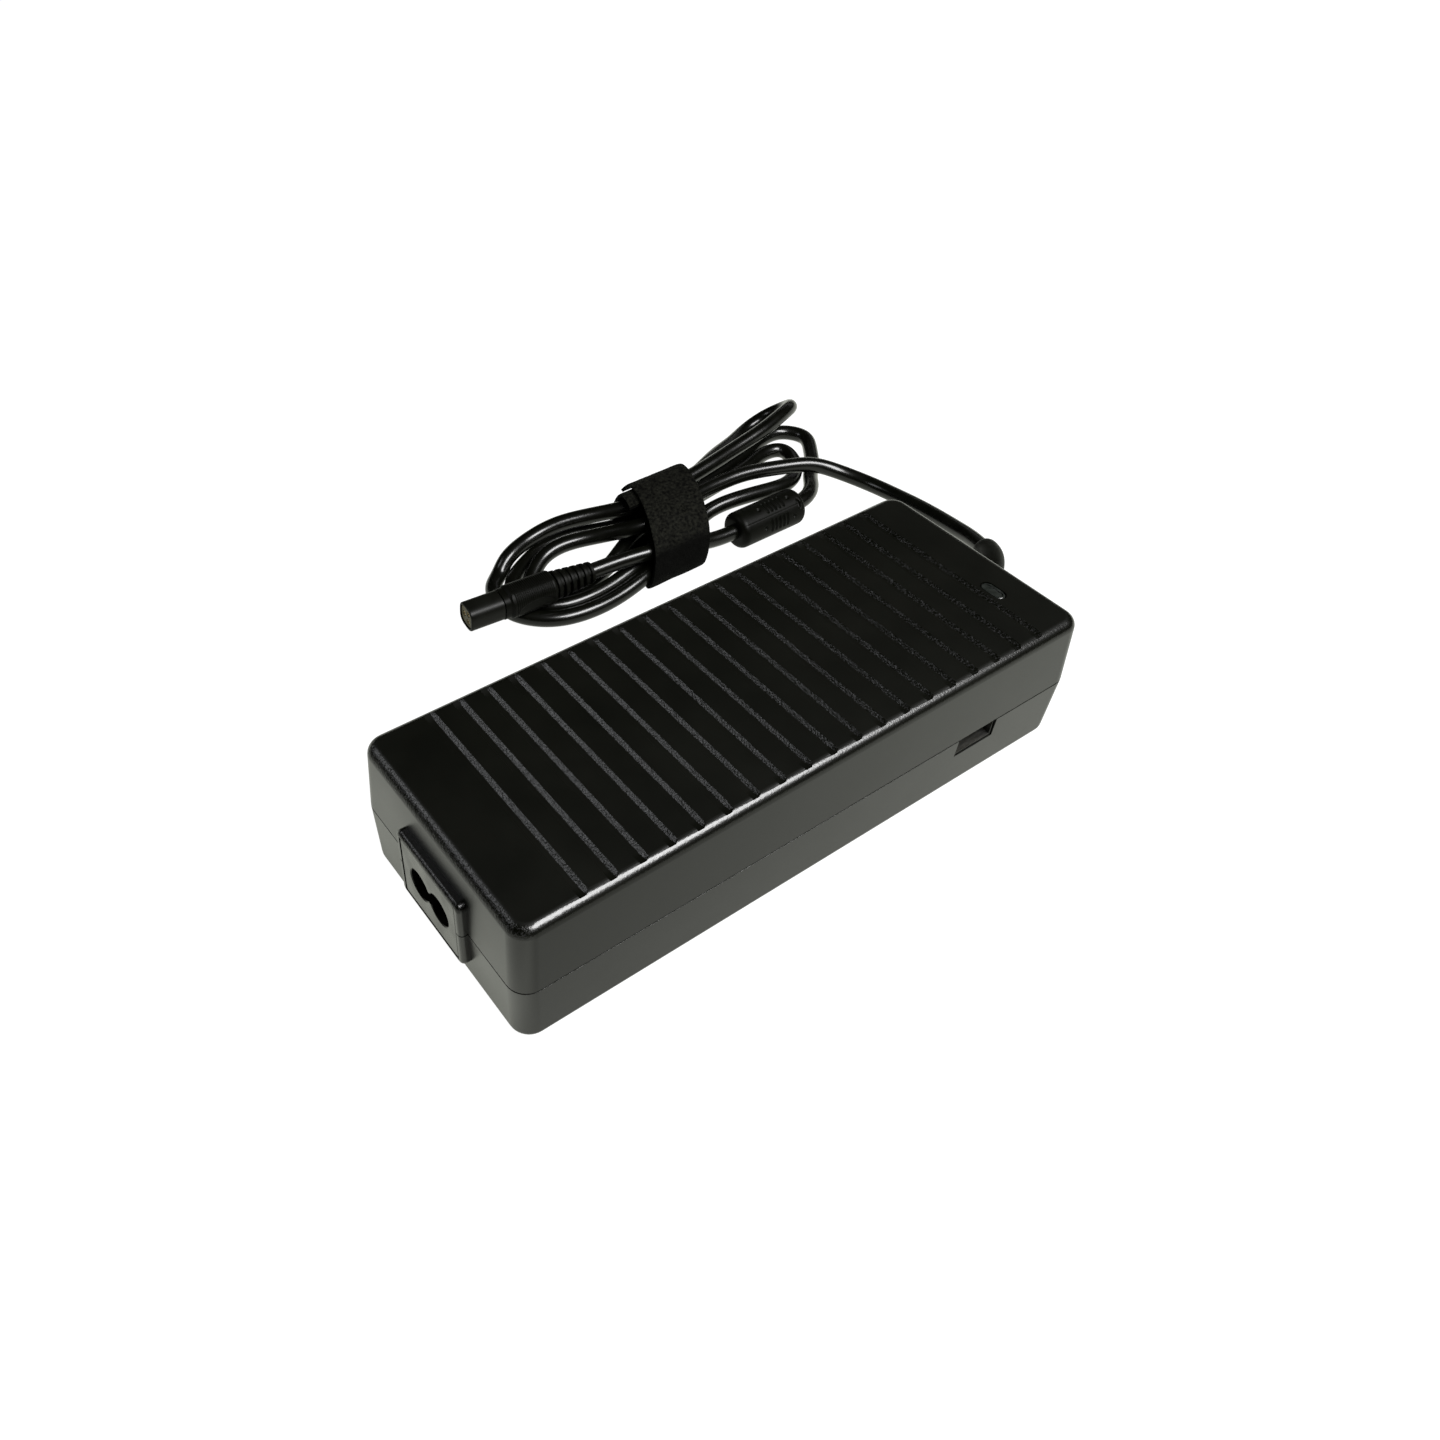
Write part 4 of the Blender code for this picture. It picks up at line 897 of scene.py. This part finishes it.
def make_boot():
    """The tapered strain relief, which grips the shells by a flange on their inside."""
    route = np.array(BOOT_ROUTE)
    along = np.concatenate([[0.0], np.cumsum(np.linalg.norm(np.diff(route, axis=0), axis=1))])
    stations = sorted(set(np.linspace(0, along[-1], 70)) | set(along))
    tip = along[-1]
    straight = along[5]
    rings = []
    smooth = np.array(smooth_route(BOOT_ROUTE[5:], 300))
    smooth_along = np.concatenate(
        [[0.0], np.cumsum(np.linalg.norm(np.diff(smooth, axis=0), axis=1))]) + straight
    side = Vector((0, 0, 1))
    for at in stations:
        radius = np.interp(at, along, BOOT_RADII)
        radius -= 0.45 * max(0.0, 1 - (tip - at) / 0.9) ** 2
        radius -= 0.5 * max(0.0, 1 - abs(at - along[4]) / 0.5) * (at > along[4] - 1e-6)
        if at <= straight:
            centre = Vector([np.interp(at, along, route[:, k]) for k in range(3)])
            forward = Vector((1, 0, 0))
        else:
            centre = Vector([np.interp(at, smooth_along, smooth[:, k]) for k in range(3)])
            after = Vector([np.interp(at - 0.3, smooth_along, smooth[:, k]) for k in range(3)])
            forward = (centre - after).normalized() if (centre - after).length > 0 else forward
        up = (side - forward * side.dot(forward)).normalized()
        across = up.cross(forward)
        rings.append([tuple(centre + (across * math.cos(t) + up * math.sin(t)) * radius)
                      for t in (2 * math.pi * i / 48 for i in range(48))])
    finish_piece("strain_relief", mesh_of(loft(rings)), MATERIALS["soft_moulding"],
                 ["cord_strain_relief"])


def make_cord():
    """The whole lead on one smooth line, from the wall of the shell to inside the
    connector's boot."""
    inside = TIP + TIP_DIRECTION.normalized() * (BOOT_END - 6)
    within = [point for point in BOOT_ROUTE[5:] if point[0] < 107.0]
    points = smooth_route([EXIT] + within + CORD_ROUTE + [tuple(inside)], 900)
    curve = bpy.data.curves.new("dc_lead", 'CURVE')
    curve.dimensions = '3D'
    curve.bevel_depth = CORD_DIAMETER / 2 * MM
    curve.bevel_resolution = 6
    curve.use_fill_caps = True
    spline = curve.splines.new('POLY')
    spline.points.add(len(points) - 1)
    for target, point in zip(spline.points, points):
        target.co = (*(BRICK @ Vector(point)), 1.0)
    spline.use_smooth = True
    curve.materials.append(MATERIALS["cord_jacket"])
    lead = new_object("dc_lead", curve)
    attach(lead, "root")
    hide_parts("dc_cord")
    return lead


def ferrite_radius(height, turn):
    """A rounded sleeve with two panels of finger ribs beside its mould line, four dimples, and
    an oblong hollow near one end."""
    length = FERRITE_MAX_X - FERRITE_MIN_X
    from_end = min(height, length - height)
    radius = FERRITE_RADIUS
    if from_end < 2.0:
        radius -= 2.0 - math.sqrt(max(0.0, 4.0 - (2.0 - from_end) ** 2))
    facing = math.radians(FERRITE_FACING)
    away = math.atan2(math.sin(turn - facing), math.cos(turn - facing))
    arc = abs(away) * FERRITE_RADIUS
    for number in range(FERRITE_RIBS):
        across = abs(height - (FERRITE_RIB_FIRST + number * FERRITE_RIB_PITCH))
        if across < 0.5 and 1.0 < arc < 5.4:
            radius -= 0.42 * math.cos(math.pi * across) * min(1.0, (arc - 1.0) / 0.4,
                                                             (5.4 - arc) / 0.4)
    for spot in (8.0, 19.4):
        for side in (-1, 1):
            far = math.hypot(height - spot, away * FERRITE_RADIUS - side * 3.2)
            radius -= 0.55 * max(0.0, 1 - (far / 0.75) ** 2)
    oval = math.hypot((height - 22.0) / 0.7, away * FERRITE_RADIUS / 1.7)
    radius -= 0.7 * max(0.0, 1 - oval ** 4)
    radius -= 0.07 * max(0.0, 1 - arc / 0.14)
    return radius


def make_ferrite():
    length = FERRITE_MAX_X - FERRITE_MIN_X
    ends = [2.0 * (1 - math.cos(math.pi / 2 * i / 8)) for i in range(8)]
    stations = ends + list(np.linspace(2.0, length - 2.0, 130)) + [length - e for e in ends[::-1]]
    stations = sorted(set(stations))
    mesh_data = turned(ferrite_radius, stations, 160)
    turn = Vector((0, 0, 1)).rotation_difference(Vector((1, 0, 0))).to_matrix().to_4x4()
    place = Matrix.Translation((FERRITE_MIN_X, FERRITE_Y, FERRITE_Z)) @ turn
    mesh_data.transform(place)
    return finish_piece("ferrite_sleeve", mesh_of(mesh_data), MATERIALS["soft_moulding"],
                        ["ferrite_cover", "ferrite_core"])


# ---------------------------------------------------------------- connector

CONNECTOR = BRICK @ Matrix.Translation(TIP) @ Vector((0, 0, 1)).rotation_difference(
    TIP_DIRECTION).to_matrix().to_4x4()


def squarish(turn, half_width, power=3.0):
    """The radius of a rounded square at an angle."""
    return half_width / (abs(math.cos(turn)) ** power + abs(math.sin(turn)) ** power) ** (1 / power)


def barrel_radius(height, turn):
    radius = squarish(turn, BARREL_RADIUS - 0.28)
    edge = max(0.0, 0.35 - height)
    return radius - (0.35 - math.sqrt(0.35 ** 2 - edge ** 2))


def grip_radius(height, turn):
    """The moulded grip: a plain neck, then fine ribs all round but for a smooth thumb pad."""
    neck = BARREL_LENGTH + GAP + 1.6
    swell = min(1.0, max(0.0, (height - neck) / 1.0))
    swell = swell * swell * (3 - 2 * swell)
    radius = squarish(turn, BARREL_RADIUS - 0.12 + swell * (GRIP_RADIUS - BARREL_RADIUS - 0.2))
    radius = min(radius, GRIP_RADIUS)
    close = max(0.0, height - (GRIP_END - 1.1)) / 1.1
    radius -= 0.9 * close ** 2
    facing = math.radians(GRIP_FACING)
    away = math.atan2(math.sin(turn - facing), math.cos(turn - facing))
    pad = math.hypot((height - 20.6) / 6.1, away / 0.62)
    if pad < 1.0:
        radius -= 0.35 * min(1.0, (1 - pad) * 6)
    elif neck + 1.6 < height < GRIP_END - 1.6:
        radius -= 0.09 * (1 - math.cos(2 * math.pi * height / 0.62))
    return radius


def ring_radius(height, turn):
    """The bending part: rings that get thinner, joined by webs on two sides."""
    start = GRIP_END + GAP
    along = height - start
    outer = 4.3 - along * 0.095
    pitch = 2.3
    phase = along % pitch
    web = abs(math.cos(turn)) > 0.55
    slot = 1.25 < phase < 2.2 and along < 5 * pitch
    if slot:
        return outer - (0.45 if web else 1.1)
    rounding = max(0.0, 0.3 - min(phase, abs(1.25 - phase)))
    return outer - rounding ** 2 * 1.6


def make_connector():
    stations = [0.0, 0.03, 0.08, 0.15, 0.24, 0.35, 2.0, 6.0, BARREL_LENGTH]
    mesh = carve(solid("barrel", turned(barrel_radius, stations, 96)), [
        ('DIFFERENCE', solid("barrel_bore", turned(
            lambda h, t: squarish(t, BARREL_RADIUS - 0.85), [-1.0, BARREL_LENGTH + 1.0], 96)))])
    pieces = [finish_piece("plug_barrel", mesh, MATERIALS["barrel_plastic"],
                           ["connector_barrel"], matrix=CONNECTOR)]

    block = turned(lambda h, t: squarish(t, BARREL_RADIUS - 1.0) - 0.1 * (h < 0.36),
                   [0.35, 0.45, BARREL_LENGTH - 0.25], 72)
    steps = []
    for number in range(3):
        turn = math.radians(90 + 120 * number)
        x, y = 1.55 * math.cos(turn), 1.55 * math.sin(turn)
        steps.append(('DIFFERENCE', solid("socket", cylinder(0.9, (x, y, -1.0), (x, y, 8.0)))))
    mesh = carve(solid("insulator", block), steps)
    pieces.append(finish_piece("plug_insulator", mesh, MATERIALS["insulator"],
                               ["connector_insulator"], matrix=CONNECTOR))

    stations = list(np.arange(BARREL_LENGTH + GAP, GRIP_END, 0.1)) + [GRIP_END]
    pieces.append(finish_piece("plug_grip", mesh_of(turned(grip_radius, stations, 120)),
                               MATERIALS["soft_moulding"], ["connector_grip"],
                               matrix=CONNECTOR, angle=60))

    stations = list(np.arange(GRIP_END + GAP, BOOT_END, 0.12)) + [BOOT_END]
    pieces.append(finish_piece("plug_boot", mesh_of(turned(ring_radius, stations, 96)),
                               MATERIALS["soft_moulding"], ["connector_boot"],
                               matrix=CONNECTOR, angle=45))
    return pieces + [frame["nodes"][f"connector_contact_{n}"] for n in (1, 2, 3)]


# ---------------------------------------------------------------- strap

def make_strap():
    """A woven ribbon that advances as it winds, with bound edges and a slightly uneven lie."""
    rows = np.array(smooth_route(STRAP_ROUTE, 420))
    forward = np.gradient(rows, axis=0)
    forward /= np.linalg.norm(forward, axis=1)[:, None]
    across_count = 44
    ribbon = bmesh.new()
    grid = []
    for i, (centre, ahead) in enumerate(zip(rows, forward)):
        out = Vector((1, 0, 0)).cross(Vector(ahead)).normalized()
        row = []
        for j in range(across_count + 1):
            share = 2 * j / across_count - 1
            offset = share * STRAP_WIDTH / 2
            lie = 0.10 * noise.noise(Vector((i * 0.05, share * 2.0, 3.1)))
            edge = -0.12 * max(0.0, (abs(share) - 0.9) / 0.1) ** 2
            nap = 0.045 * noise.noise(Vector((i * 0.9, j * 0.9, 7.7)))
            row.append(ribbon.verts.new(Vector(centre) + Vector((offset, 0, 0))
                                        + out * (lie + edge + nap)))
        grid.append(row)
    for first, second in zip(grid, grid[1:]):
        for j in range(across_count):
            ribbon.faces.new((first[j], first[j + 1], second[j + 1], second[j]))
    strap = solid("strap", ribbon)
    thick = strap.modifiers.new("thickness", 'SOLIDIFY')
    thick.thickness = STRAP_THICKNESS
    thick.offset = 0.0
    return finish_piece("hook_and_loop_strap", carve(strap, []), MATERIALS["strap_fabric"],
                        ["cord_strap"], angle=50)


# ---------------------------------------------------------------- CAD nodes that stay

def dress_cad_nodes():
    """Each CAD node takes the finish of its own material slot in the record."""
    for subpart in frame["record"]["subparts"]:
        mesh = frame["nodes"][subpart["node"]].data
        mesh.materials.clear()
        mesh.materials.append(MATERIALS[subpart["material_slot"]])


make_camera()
make_world()
make_lights()
make_floor()
make_shells()
make_inlet()
make_lens()
make_boot()
lead = make_cord()
sleeve = make_ferrite()
strap = make_strap()
plug = make_connector()
dress_cad_nodes()
